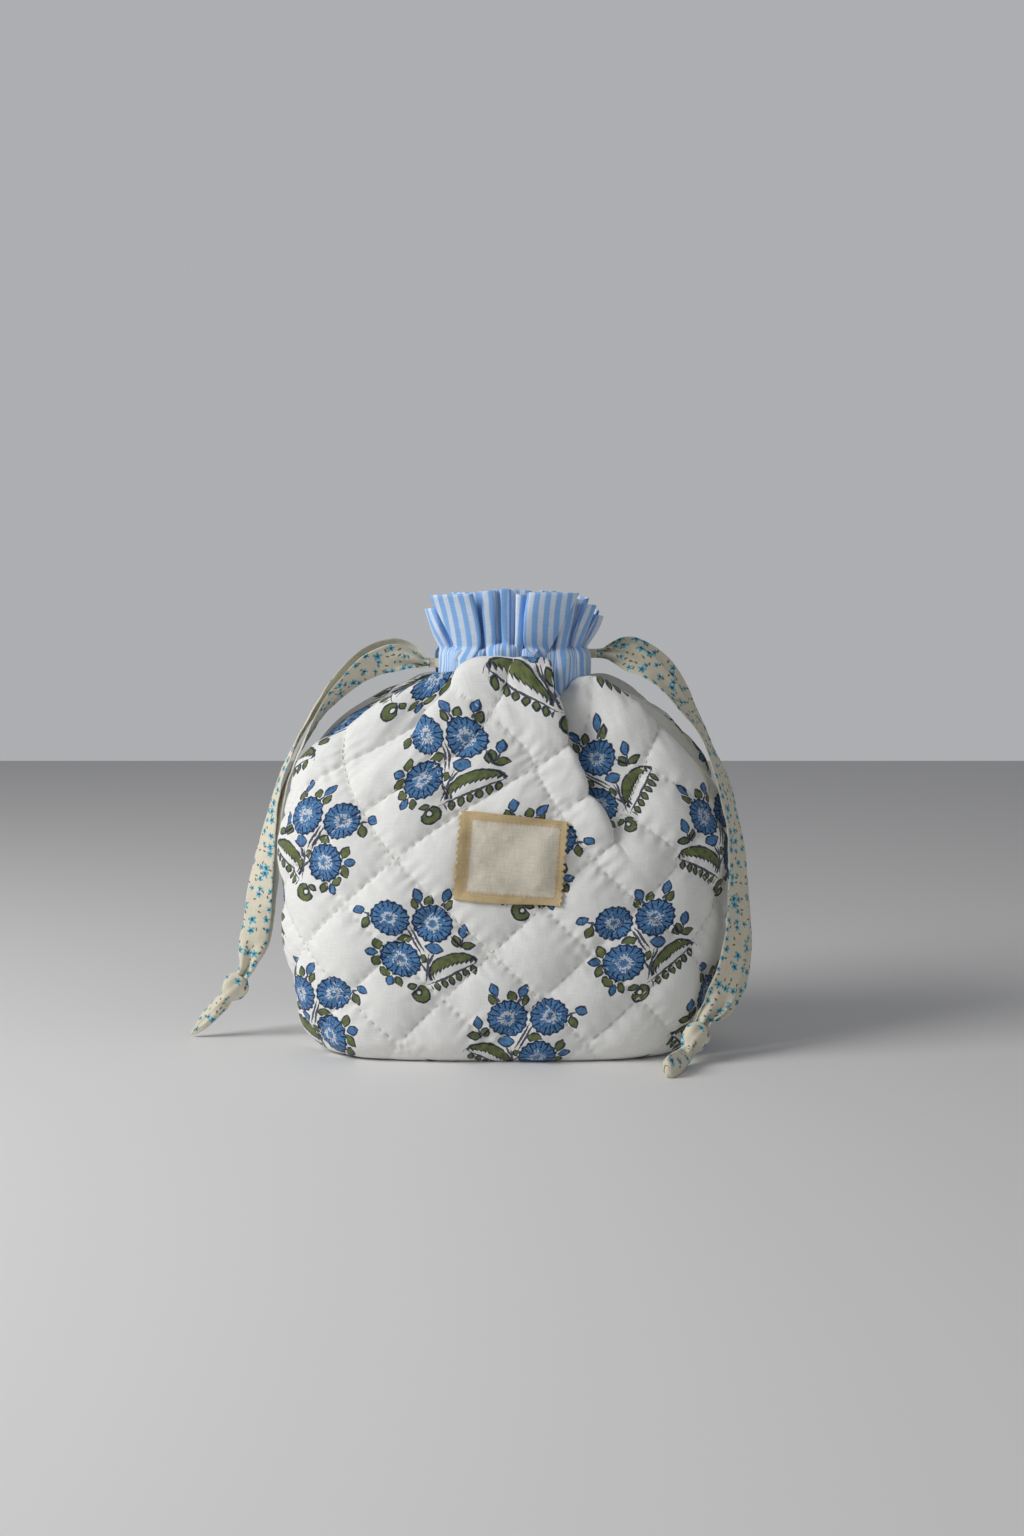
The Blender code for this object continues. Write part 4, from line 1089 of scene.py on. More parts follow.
# %% Ruffle values
BAND_TUCK = 0.0030
CHANNEL_HEIGHT = 0.0120
CHANNEL_SWELL = 0.0034
RUFFLE_HEIGHT = 0.0256
RUFFLE_SIDE_FALL = 0.0085
SLIT_WIDTH = 0.0104
CORD_HEIGHT = 0.0044
CORD_THICKNESS = 0.0018
BAND_COLUMNS = 460
CHANNEL_ROWS = 12
RUFFLE_ROWS = 24
TURNOVER_ROWS = 5
BAND_CLOTH = 0.00045
LAYER_SPREAD = 0.00105
# Crest turn, depth outwards, overhang, lean along the neck at the top, and extra height
PLEATS = (
    (0.040, 0.0046, 0.0016, -0.0012, -0.0004),
    (0.128, 0.0078, 0.0092, -0.0050, 0.0006),
    (0.192, 0.0030, 0.0018, -0.0012, 0.0006),
    (0.230, 0.0014, 0.0010, -0.0004, -0.0006),
    (0.264, 0.0050, 0.0010, 0.0006, -0.0010),
    (0.314, 0.0108, 0.0106, 0.0062, 0.0000),
    (0.384, 0.0030, 0.0016, 0.0024, 0.0006),
    (0.430, 0.0044, 0.0020, 0.0026, -0.0006),
    (0.474, 0.0058, 0.0022, 0.0020, -0.0030),
    (0.535, 0.0042, 0.0018, 0.0010, -0.0010),
    (0.595, 0.0062, 0.0044, -0.0020, 0.0006),
    (0.650, 0.0036, 0.0018, 0.0014, 0.0010),
    (0.715, 0.0070, 0.0050, -0.0026, -0.0002),
    (0.775, 0.0038, 0.0018, 0.0012, 0.0008),
    (0.835, 0.0064, 0.0040, 0.0024, 0.0002),
    (0.895, 0.0040, 0.0018, -0.0014, 0.0008),
    (0.955, 0.0046, 0.0016, -0.0004, -0.0006),
)
# Middle turn, half width and lift of each puff of the channel
PUFFS = (
    (0.098, 0.070, 0.0000),
    (0.222, 0.042, 0.0026),
    (0.298, 0.026, 0.0004),
    (0.430, 0.085, 0.0000),
    (0.570, 0.050, 0.0008),
    (0.670, 0.045, 0.0000),
    (0.770, 0.055, 0.0012),
    (0.885, 0.060, 0.0000),
    (0.985, 0.035, 0.0004),
)
RUFFLE_FLARE = 0.0042
BASE_DEPTH = 0.0021
CREST_FLATNESS = 0.62
CHANNEL_SQUARENESS = 6
DEPTH_GROWTH = 0.8


def neck_girth():
    corners = neck_line(np.linspace(0, 1, 361))
    return running_length(corners)[-1]


def pleat_values(turn):
    """Phase along the pleats (a whole number on each crest) and the values there."""
    pleats = np.array(PLEATS)
    count = len(pleats)
    places = np.concatenate([pleats[-1:, 0] - 1, pleats[:, 0], pleats[:1, 0] + 1])
    phase = np.interp(turn % 1.0, places, np.arange(-1, count + 1))
    around = np.concatenate([pleats[-1:], pleats, pleats[:1]])[:, 1:]
    near = np.round(phase).astype(int) + 1
    shift = np.clip(phase - np.round(phase), -0.5, 0.5)
    blend = smoothstep(0.25, 0.75, np.abs(shift))
    other = np.clip(near + np.sign(shift).astype(int), 0, count + 1)
    columns = [(1 - blend) * around[near, k] + blend * around[other, k] for k in range(around.shape[1])]
    return phase, columns


def puff_values(turn):
    """How far the channel puffs out at each turn, from 0 to 1, and its lift there."""
    swell, lift = np.zeros_like(turn), np.zeros_like(turn)
    for middle, half_width, rise in PUFFS:
        away = np.abs((turn - middle + 0.5) % 1.0 - 0.5) / half_width
        bump = np.sqrt(np.maximum(1 - away**2, 0))
        swell = np.maximum(swell, bump)
        lift = lift + rise * smoothstep(1.3, 0.3, away)
    return swell, lift


def pleated_cloth(points, phase, valley):
    """Place across the strip: the real way along each row, and in every pleat the width
    that its row lacks, laid into the valleys."""
    steps = np.linalg.norm(np.diff(points, axis=1), axis=-1)
    widest = steps[len(points) // 2]
    weight = 0.5 * (valley[1:] + valley[:-1]) ** 2 + 0.01
    pleat = np.floor(0.5 * (phase[1:] + phase[:-1]) + 0.5).astype(int)
    for number in np.unique(pleat):
        part = pleat == number
        missing = widest[part].sum() - steps[:, part].sum(axis=1, keepdims=True)
        steps[:, part] += missing * weight[part] / weight[part].sum()
    steps = np.maximum(steps, 1e-7)
    return np.concatenate([np.zeros((len(points), 1)), np.cumsum(steps, axis=1)], axis=1)


def make_band(side):
    """Grid of the folded strip: up the outer layer, over the fold and down the inner one."""
    start = SIDES[side]
    margin = 0.5 * SLIT_WIDTH / neck_girth()
    turn = start + np.linspace(margin, 0.5 - margin, BAND_COLUMNS + 1)
    line, out = neck_line(turn), neck_outward(turn)
    along = np.stack([-out[:, 1], out[:, 0]], axis=-1)
    phase, (depth, overhang, lean, extra) = pleat_values(turn)
    crest = np.cos(2 * np.pi * phase)
    wave = np.sign(crest) * np.abs(crest) ** CREST_FLATNESS
    puffed, lift = puff_values(turn)
    rim_rows, _ = folded_body(turn, np.array([WALL_LENGTH - 1e-4, WALL_LENGTH]))
    sole = rim_rows[1, :, 2] - BAND_TUCK
    top = NECK_HEIGHT + GAP + CHANNEL_HEIGHT + lift
    pocket = CORD_THICKNESS / 2 + GAP + BAND_CLOTH
    tall = RUFFLE_HEIGHT - RUFFLE_SIDE_FALL * np.cos(2 * np.pi * turn) ** 6 + extra
    tall = tall + 0.0004 * soft_noise(turn * 40, 0 * turn, 5)
    channel = np.linspace(0, 1, CHANNEL_ROWS, endpoint=False)[:, None]
    ruffle = np.linspace(0, 1, RUFFLE_ROWS)[:, None]
    fan = LAYER_SPREAD / 2

    bulge = 1 - np.abs(2 * channel - 1) ** CHANNEL_SQUARENESS
    gather = 0.0007 * soft_noise(turn * 75, channel * 1.3, 9)
    swell = pocket - fan + CHANNEL_SWELL * puffed + gather
    channel_out = fan + bulge * swell
    shared = BASE_DEPTH * wave * smoothstep(0.90, 1.0, channel)
    channel_level = sole + (top - sole) * channel

    billow = 0.0005 * np.sin(np.pi * ruffle) * (1 + soft_noise(turn * 30, 0 * turn, 13))
    middle = RUFFLE_FLARE * ruffle**1.2
    middle = middle + (BASE_DEPTH + (depth - BASE_DEPTH) * ruffle**DEPTH_GROWTH) * wave
    middle = middle + 0.0010 * ruffle * soft_noise(turn * 55, ruffle * 1.6, 21)
    middle = middle + 0.0005 * (1 - ruffle) * ruffle**0.5 * soft_noise(turn * 150, ruffle * 1.5, 23)
    slide = overhang * np.sin(4 * np.pi * phase) * (0.45 + 0.55 * ruffle**0.7) + lean * ruffle**1.3
    slide = slide + 0.0008 * ruffle * soft_noise(turn * 35, ruffle * 1.2, 27)
    ruffle_level = top + tall * ruffle + 0.0006 * ruffle * soft_noise(turn * 33, ruffle, 25)
    bend = np.linspace(0, np.pi, TURNOVER_ROWS + 2)[1:-1, None]

    def strip(offset, level, sideways):
        flat = line[None] + offset[..., None] * out[None] + sideways[..., None] * along[None]
        return np.concatenate([flat, level[..., None]], axis=-1)

    base_slide = slide[:1] * smoothstep(0.55, 1, channel)
    layers = []
    for sign in (1, -1):
        lower = strip(sign * channel_out + shared, channel_level, base_slide)
        upper = strip(middle + sign * (fan + billow), ruffle_level, slide)
        layers.append(np.concatenate([lower, upper]))
    fold = strip(
        middle[-1:] + np.cos(bend) * fan,
        ruffle_level[-1:] + np.sin(bend) * fan,
        slide[-1:] + 0 * bend,
    )
    points = np.concatenate([layers[0], fold, layers[1][::-1]])
    across = pleated_cloth(points, phase, 0.5 - 0.5 * wave)
    rise = np.concatenate([[0], np.cumsum(np.linalg.norm(np.diff(points.mean(axis=1), axis=0), axis=1))])
    cloth = np.stack(np.broadcast_arrays(across, rise[:, None]), axis=-1)
    return points, cloth


# %% Striped cotton
STRIPE_PITCH = 5.4
STRIPE_BLUE = (0.265, 0.50, 0.89, 1)
STRIPE_PALE = (0.68, 0.78, 0.92, 1)


def build_striped_cotton():
    material, tree, shader, cloth = cloth_material("striped_cotton", 0.78, 0.15)
    across, _ = parts_of(tree, cloth)
    beat = calculate(tree, "COSINE", calculate(tree, "MULTIPLY", across, 2 * math.pi / STRIPE_PITCH))
    fine = calculate(tree, "COSINE", calculate(tree, "MULTIPLY", across, 6 * math.pi / STRIPE_PITCH))
    edge = calculate(tree, "MULTIPLY_ADD", fine, 0.22, beat)
    yarns = noise(tree, arrow(tree, "MULTIPLY", cloth, (3.0, 0.12, 1)), 1.0, 1.0)
    edge = calculate(tree, "MULTIPLY_ADD", calculate(tree, "SUBTRACT", yarns, 0.5), 0.5, edge)
    blue = ease(tree, edge, -0.16, 0.10)
    colour = blend_colour(tree, blue, STRIPE_PALE, STRIPE_BLUE)
    wrinkles = noise(tree, arrow(tree, "MULTIPLY", cloth, (1.0, 0.3, 1)), 3.2, 2.0)
    height = calculate(tree, "MULTIPLY", wrinkles, 2.5)
    add_weave(tree, shader, cloth, 0.38, 0.30, 0.00012, colour, 0.10, height)
    return material


STRIPED_COTTON = build_striped_cotton()

# %% Make the ruffles
band_pieces = {}
for side in SIDES:
    points, cloth = make_band(side)
    solid, faces, place = thick_sheet(points, cloth, BAND_CLOTH)
    piece = make_piece(f"ruffle_{side}", solid, faces, place, material=STRIPED_COTTON)
    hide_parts(f"band_{side}")
    band_pieces[side] = piece

# %% [markdown]
# ## The ribbon drawstrings
#
# Each drawstring is a flat cotton ribbon, printed with small turquoise flowers. It leaves
# the channel bunched up in the slit, opens to its full width, hangs over the shoulder of
# the bag and is gathered again into its knot. The routes are the frame's own: listed
# points, with the lean of the ribbon's width at each. Where the ribbon is narrower
# than its cloth, the section is thrown into a wave of the length that is left over.

# %% Ribbon values
RIBBON_WIDTH = 0.0150
RIBBON_CLOTH = 0.0009
EXIT_REACH = 0.0060
EXIT_STRAIGHT = 0.0032
STRAIGHT_SHARES = (0, 0.4, 1)
OPENING_LENGTH = 0.022
CLOSING_LENGTH = 0.020
KNOT_END_SHARE = 0.25
STRAND_SPREAD = 0.0030
STRAND_ROWS = 260
STRAND_COLUMNS = 25
LEFT_FRONT_ROUTE = (
    (-0.0440, -0.0030, 0.1918, 0),
    (-0.0530, -0.0048, 0.1932, -12),
    (-0.0640, -0.0058, 0.1905, -30),
    (-0.0775, -0.0058, 0.1808, -55),
    (-0.0900, -0.0048, 0.1672, -75),
    (-0.1010, -0.0030, 0.1490, -90),
    (-0.1085, -0.0010, 0.1325, -98),
    (-0.1145, 0.0000, 0.1140, -112),
    (-0.1185, 0.0005, 0.0955, -132),
    (-0.1215, 0.0010, 0.0755, -152),
    (-0.1245, 0.0014, 0.0560, -165),
    (-0.1285, 0.0014, 0.0430, -172),
)
LEFT_BACK_ROUTE = (
    (-0.0440, 0.0032, 0.1930, 0),
    (-0.0540, 0.0045, 0.1955, -12),
    (-0.0658, 0.0032, 0.1934, -30),
    (-0.0792, 0.0010, 0.1845, -55),
    (-0.0926, 0.0000, 0.1696, -75),
    (-0.1040, -0.0010, 0.1512, -90),
    (-0.1120, -0.0015, 0.1338, -98),
    (-0.1175, -0.0015, 0.1146, -112),
    (-0.1210, -0.0022, 0.0952, -132),
    (-0.1232, -0.0028, 0.0752, -152),
    (-0.1255, -0.0030, 0.0565, -165),
    (-0.1288, -0.0028, 0.0442, -172),
)
RIGHT_FRONT_ROUTE = (
    (0.0535, -0.0036, 0.1950, -4),
    (0.0605, -0.0060, 0.1940, -16),
    (0.0690, -0.0080, 0.1902, -34),
    (0.0785, -0.0100, 0.1820, -52),
    (0.0882, -0.0130, 0.1695, -66),
    (0.0985, -0.0160, 0.1550, -72),
    (0.1060, -0.0190, 0.1370, -68),
    (0.1115, -0.0220, 0.1180, -60),
    (0.1142, -0.0255, 0.0985, -52),
    (0.1148, -0.0300, 0.0790, -46),
    (0.1136, -0.0365, 0.0600, -38),
    (0.1092, -0.0435, 0.0410, -26),
    (0.1020, -0.0486, 0.0268, -12),
)
RIGHT_BACK_ROUTE = (
    (0.0535, 0.0036, 0.1962, -4),
    (0.0620, 0.0066, 0.1965, -16),
    (0.0730, 0.0086, 0.1922, -34),
    (0.0845, 0.0086, 0.1822, -55),
    (0.0950, 0.0078, 0.1665, -72),
    (0.1040, 0.0062, 0.1480, -80),
    (0.1124, 0.0035, 0.1285, -76),
    (0.1166, -0.0005, 0.1070, -68),
    (0.1186, -0.0055, 0.0850, -60),
    (0.1192, -0.0125, 0.0640, -52),
    (0.1182, -0.0225, 0.0460, -44),
    (0.1125, -0.0345, 0.0335, -30),
    (0.1050, -0.0440, 0.0256, -14),
)
# Knot and tail: x, y, z and the radius there
LEFT_KNOT_ROUTE = (
    (-0.1332, 0.0001, 0.0318, 0.0036),
    (-0.1350, 0.0000, 0.0290, 0.0060),
    (-0.1368, 0.0000, 0.0262, 0.0066),
    (-0.1388, 0.0000, 0.0235, 0.0058),
    (-0.1410, 0.0002, 0.0208, 0.0034),
    (-0.1440, 0.0002, 0.0172, 0.0040),
    (-0.1485, 0.0000, 0.0120, 0.0038),
    (-0.1530, -0.0002, 0.0072, 0.0030),
    (-0.1570, 0.0000, 0.0034, 0.0016),
    (-0.1592, 0.0002, 0.0018, 0.0008),
)
RIGHT_KNOT_ROUTE = (
    (0.0952, -0.0515, 0.0177, 0.0034),
    (0.0938, -0.0528, 0.0152, 0.0056),
    (0.0922, -0.0543, 0.0126, 0.0064),
    (0.0906, -0.0560, 0.0100, 0.0058),
    (0.0889, -0.0586, 0.0073, 0.0036),
    (0.0865, -0.0635, 0.0054, 0.0038),
    (0.0835, -0.0710, 0.0047, 0.0040),
    (0.0800, -0.0795, 0.0044, 0.0038),
    (0.0770, -0.0870, 0.0038, 0.0030),
)
KNOT_ROUTES = {"left": LEFT_KNOT_ROUTE, "right": RIGHT_KNOT_ROUTE}


# %% Ribbon routes and sections
def ribbon_frames(points, leans):
    """Unit vectors along the ribbon's width and its thickness, from its lean out of the
    front view."""
    along = unit(np.gradient(points, axis=0))
    sideways = unit(np.cross(along, (0, 1, 0)))
    depthways = np.cross(along, sideways)
    width = np.cos(leans)[:, None] * sideways + np.sin(leans)[:, None] * depthways
    return along, width, np.cross(along, width)


def cord_level(side):
    """Height of a drawstring in the channel: the left one runs below the right one."""
    middle = NECK_HEIGHT + GAP + CHANNEL_HEIGHT / 2
    offset = (CORD_HEIGHT + GAP) / 2
    return middle - offset if side == "left" else middle + offset


def strand_points(side, way, route):
    """The whole route: straight out of the slit, over the shoulder, into the knot."""
    end = -1 if side == "left" else 1
    x = NECK_SHIFT + end * (NECK_WIDTH / 2 + EXIT_REACH + GAP)
    start = np.array([x, way * (CORD_THICKNESS / 2 + GAP), cord_level(side)])
    lead = [(*(start + (end * share * EXIT_STRAIGHT, 0, 0)), 0) for share in STRAIGHT_SHARES]
    knot = np.array(KNOT_ROUTES[side])[:2, :3]
    into = (knot[1] - knot[0]) / np.linalg.norm(knot[1] - knot[0])
    aside = np.array([0, 1, 0]) - into[1] * into
    aside *= end * way * STRAND_SPREAD / 2 / np.linalg.norm(aside)
    seat = knot[0] + aside - GAP * into
    lean = route[-1][3]
    tail = [(*(seat - share * EXIT_STRAIGHT * into), lean) for share in STRAIGHT_SHARES[::-1]]
    chosen = np.array([*lead, *route, *tail], dtype=float)
    run = running_length(chosen[:, :3])
    fine = smooth_curve(run, chosen, np.linspace(0, run[-1], STRAND_ROWS))
    return fine[:, :3], np.radians(fine[:, 3])


def ribbon_sheet(points, leans, widths, seed, printed_front):
    """Grid of a ribbon along its route, with curl, a wave where it is bunched, and creases."""
    run = running_length(points)
    along, width_way, thick_way = ribbon_frames(points, leans)
    q = np.linspace(-0.5, 0.5, STRAND_COLUMNS)[None, :]
    spare = np.sqrt(np.maximum(RIBBON_WIDTH**2 - widths**2, 0))[:, None]
    bunch = spare / 7.0 * np.cos(2 * np.pi * 1.5 * q + 0.6)
    curl = 0.0011 * (4 * q**2 - 0.4) * (0.6 + soft_noise(run / 0.021, 0 * run, seed)[:, None])
    creases = 0.00035 * rough_noise(run[:, None] / 0.0065, q * 2.2, seed + 3)
    edge = 0.0005 * soft_noise(run[:, None] / 0.011, np.sign(q) * 3.3, seed + 5) * np.abs(2 * q) ** 3
    across = q * (widths * (1 + 0.03 * soft_noise(run / 0.013, 0 * run, seed + 7)))[:, None]
    rise = bunch + curl + creases + edge
    grid = points[:, None] + across[..., None] * width_way[:, None] + rise[..., None] * thick_way[:, None]
    cloth = np.stack(np.broadcast_arrays(run[:, None], (q + 0.5) * RIBBON_WIDTH), axis=-1)
    if not printed_front:
        grid, cloth = grid[:, ::-1], cloth[:, ::-1]
    return grid, cloth


# %% [markdown]
# ## The ribbon's print
#
# Small flowers and leaves are strewn over cream cotton. A Voronoi pattern gives each
# flower its own cell and its own random number. In the cell, the distance and the angle
# from its middle draw the petals. On the wrong side of the ribbon the print only shows
# through faintly.

# %% Ribbon cotton
RIBBON_CREAM = (0.72, 0.67, 0.53, 1)
RIBBON_WRONG = (0.70, 0.67, 0.55, 1)
RIBBON_TURQUOISE = (0.06, 0.38, 0.50, 1)
RIBBON_NAVY = (0.010, 0.045, 0.13, 1)
RIBBON_BROWN = (0.11, 0.075, 0.035, 1)
FLOWER_CELL = 5.6
SPRIG_CELL = 3.9


def strewn(tree, cloth, cell, seed_shift):
    """Place in the nearest cell, its distance in millimetres and its random colour."""
    node = tree.nodes.new("ShaderNodeTexVoronoi")
    moved = arrow(tree, "ADD", cloth, (seed_shift, 2 * seed_shift, 0))
    flat = arrow(tree, "MULTIPLY", moved, (1, 1, 0))
    put(tree, node.inputs["Vector"], flat)
    node.voronoi_dimensions = "2D"
    node.inputs["Scale"].default_value = 1 / cell
    node.inputs["Randomness"].default_value = 0.75
    local = arrow(tree, "SUBTRACT", flat, node.outputs["Position"])
    return local, node.outputs["Color"]


def build_ribbon_print():
    tree, given, result = new_group(
        "strewn_flowers", [("Cloth", "NodeSocketVector")], [("Color", "NodeSocketColor")]
    )
    cloth = given["Cloth"]
    wander = arrow(tree, "SUBTRACT", noise(tree, cloth, 1.6, 2.0, out="Color"), (0.5, 0.5, 0.5))
    place = arrow(tree, "ADD", cloth, arrow(tree, "MULTIPLY", wander, (1.3, 1.3, 0)))
    local, chance = strewn(tree, place, FLOWER_CELL, 11.0)
    x, y = parts_of(tree, local)
    red, green = parts_of(tree, chance)
    away = arrow(tree, "LENGTH", local, out="Value")
    angle = calculate(tree, "MULTIPLY_ADD", red, 6.28, calculate(tree, "ARCTAN2", y, x))
    petals = calculate(tree, "COSINE", calculate(tree, "MULTIPLY", angle, 5.0))
    size = calculate(tree, "MULTIPLY_ADD", green, 1.2, 1.35)
    size = calculate(tree, "MULTIPLY", size, calculate(tree, "MULTIPLY_ADD", petals, 0.24, 0.80))
    grain = noise(tree, cloth, 0.8, 2.0)
    edge = calculate(tree, "MULTIPLY_ADD", calculate(tree, "SUBTRACT", grain, 0.5), 1.4, calculate(tree, "SUBTRACT", away, size))
    there = calculate(tree, "GREATER_THAN", red, 0.24)
    flower = calculate(tree, "MULTIPLY", calculate(tree, "LESS_THAN", edge, 0.0), there)
    heart = calculate(tree, "MULTIPLY_ADD", calculate(tree, "SUBTRACT", grain, 0.5), 1.8, away)
    heart = calculate(tree, "LESS_THAN", heart, calculate(tree, "MULTIPLY", size, 0.44))
    heart = calculate(tree, "MULTIPLY", heart, flower)
    sprig, chance = strewn(tree, place, SPRIG_CELL, 37.0)
    turn, share = parts_of(tree, chance)
    node = tree.nodes.new("ShaderNodeVectorRotate")
    node.rotation_type = "Z_AXIS"
    put(tree, node.inputs["Vector"], sprig)
    put(tree, node.inputs["Angle"], calculate(tree, "MULTIPLY", turn, 6.28))
    leaf = leaf_shape(tree, node.outputs[0], (0, 0), 0, 2.2, 0.95)
    leaf = calculate(tree, "MULTIPLY", calculate(tree, "LESS_THAN", leaf, 0.0), calculate(tree, "GREATER_THAN", share, 0.42))
    tint = ease(tree, grain, 0.35, 0.7)
    colour = blend_colour(tree, calculate(tree, "MULTIPLY", leaf, 0.85), RIBBON_CREAM, RIBBON_BROWN)
    petal = blend_colour(tree, tint, RIBBON_TURQUOISE, (0.16, 0.52, 0.62, 1))
    colour = blend_colour(tree, calculate(tree, "MULTIPLY", flower, 0.92), colour, petal)
    colour = blend_colour(tree, calculate(tree, "MULTIPLY", heart, 0.9), colour, RIBBON_NAVY)
    put(tree, result["Color"], colour)
    return tree


RIBBON_PRINT = build_ribbon_print()


def build_ribbon_cotton():
    material, tree, shader, cloth = cloth_material("ribbon_cotton", 0.8, 0.12)
    drawn = use_group(tree, RIBBON_PRINT, Cloth=cloth)
    node = tree.nodes.new("ShaderNodeSeparateXYZ")
    put(tree, node.inputs[0], cloth)
    wrong_side = calculate(tree, "GREATER_THAN", node.outputs[2], 0.5)
    faint = blend_colour(tree, 0.90, drawn["Color"], RIBBON_WRONG)
    colour = blend_colour(tree, wrong_side, drawn["Color"], faint)
    hem = calculate(tree, "ABSOLUTE", calculate(tree, "SUBTRACT", node.outputs[1], 2.2))
    groove = calculate(tree, "MULTIPLY", ease(tree, hem, 0.0, 0.35), 1.2)
    add_weave(tree, shader, cloth, 0.36, 0.32, 0.00012, colour, 0.08, groove)
    return material


RIBBON_COTTON = build_ribbon_cotton()

# %% Make the strands
STRANDS = (
    ("left", "front", LEFT_FRONT_ROUTE, 51),
    ("left", "back", LEFT_BACK_ROUTE, 61),
    ("right", "front", RIGHT_FRONT_ROUTE, 71),
    ("right", "back", RIGHT_BACK_ROUTE, 81),
)
for side, end, route, seed in STRANDS:
    points, leans = strand_points(side, -1 if end == "front" else 1, route)
    run = running_length(points)
    opening = smoothstep(0, OPENING_LENGTH, run)
    closing = smoothstep(0, CLOSING_LENGTH, run[-1] - run)
    wide = np.minimum(opening, KNOT_END_SHARE + (1 - KNOT_END_SHARE) * closing)
    widths = CORD_HEIGHT + (RIBBON_WIDTH - CORD_HEIGHT) * wide
    grid, cloth = ribbon_sheet(points, leans, widths, seed, (side, end) == ("left", "back"))
    q = np.linspace(-1, 1, STRAND_COLUMNS)[None, :]
    thickness = RIBBON_CLOTH * np.sqrt(1.02 - q**10) + 0 * run[:, None]
    solid, faces, place = thick_sheet(grid, cloth, thickness)
    name = f"{side}_ribbon_{end}"
    piece = make_piece(name, solid, faces, place, material=RIBBON_COTTON)
    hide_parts(f"{side}_strand_{end}")
    print(f"{name}: {run[-1] * 1000:.0f} mm long")

# %% [markdown]
# ## Knots and tails
#
# A knot in a soft ribbon is a bundle of folds pulled tight, with the tail coming out below.

# %% Knots
KNOT_ROWS = 160
KNOT_SIDES = 72
LEFT_TAIL_FLARE = 1.0
RIGHT_TAIL_FLARE = 1.9


def make_knot(side, flare, seed):
    chosen = np.array(KNOT_ROUTES[side], dtype=float)
    run = running_length(chosen[:, :3])
    fine = smooth_curve(run, chosen, np.linspace(0, run[-1], KNOT_ROWS))
    points, radii = fine[:, :3], np.maximum(fine[:, 3], 0.0004)
    at = running_length(points)
    along, width_way, thick_way = ribbon_frames(points, np.zeros(len(points)))
    spread = 1 + (flare - 1) * smoothstep(0.5 * at[-1], at[-1], at)
    angle = np.linspace(0, 2 * np.pi, KNOT_SIDES, endpoint=False)[None, :]
    twist = at[:, None] / 0.006
    ridges = 0.10 * np.sin(3 * angle + twist) + 0.05 * np.sin(7 * angle - 1.7 * twist)
    size = 1 + ridges * smoothstep(0, 0.003, at)[:, None]
    across = size * np.cos(angle) * (radii * spread)[:, None]
    through = size * np.sin(angle) * (radii / np.sqrt(spread))[:, None]
    grid = points[:, None] + across[..., None] * width_way[:, None] + through[..., None] * thick_way[:, None]
    grid[..., 2] = np.maximum(grid[..., 2], 0.0003)
    count = grid.shape[0] * grid.shape[1]
    solid = np.concatenate([grid.reshape(-1, 3), points[:1], points[-1:]])
    ring = np.arange(KNOT_SIDES)
    ahead = (ring + 1) % KNOT_SIDES
    last = count - KNOT_SIDES
    faces = [
        grid_quads(KNOT_ROWS, KNOT_SIDES, ring=True),
        np.stack([np.full(KNOT_SIDES, count), ahead, ring], axis=-1),
        np.stack([np.full(KNOT_SIDES, count + 1), last + ring, last + ahead], axis=-1),
    ]
    cloth = np.stack(np.broadcast_arrays(at[:, None], angle * 0.0045), axis=-1).reshape(-1, 2)
    cloth = np.concatenate([cloth, cloth[:1], cloth[-1:]])
    piece = make_piece(f"{side}_ribbon_knot", solid, faces, cloth, material=RIBBON_COTTON)
    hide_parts(f"{side}_knot")
    return piece


knot_pieces = {
    "left": make_knot("left", LEFT_TAIL_FLARE, 91),
    "right": make_knot("right", RIGHT_TAIL_FLARE, 95),
}

# %% [markdown]
# ## The label
#
# A patch of unbleached cotton is laid over the quilt and sewn down with one round of
# straight stitches. Its side edges are cut with pinking shears. The face is bare. The
# patch is stiffer than the quilt, so it bridges the hollows: each point is moved towards
# the mean of its neighbours for many rounds, but never below the quilt.

# %% Label values
LABEL_WIDTH = 0.053
LABEL_HEIGHT = 0.041
LABEL_CLOTH = 0.0008
LABEL_X = 0.0033
LABEL_Z = 0.0990
LABEL_TILT = -0.085
PINK_PITCH = 0.0032
PINK_DEPTH = 0.0012
LABEL_COLUMNS = 132
LABEL_ROWS = 103
SEWN_BOX = (-0.0202, 0.0224, -0.0168, 0.0172)
LABEL_ROUNDS = 220
LABEL_PUFF = 0.0013
MARGIN_PUFF = 0.0005


def front_surface():
    """A search tree of the dressed front, to find what lies behind a place in x and z."""
    points = panels["front"]["points"]
    faces = grid_quads(*points.shape[:2])
    return BVHTree.FromPolygons(points.reshape(-1, 3).tolist(), faces.tolist())


FRONT_SURFACE = front_surface()


def behind(x, z, surface):
    """Depth of the surface behind each place."""
    found = [surface.ray_cast((a, -1.0, b), (0, 1, 0))[0] for a, b in zip(x.ravel(), z.ravel())]
    return np.array([hit[1] for hit in found]).reshape(x.shape)


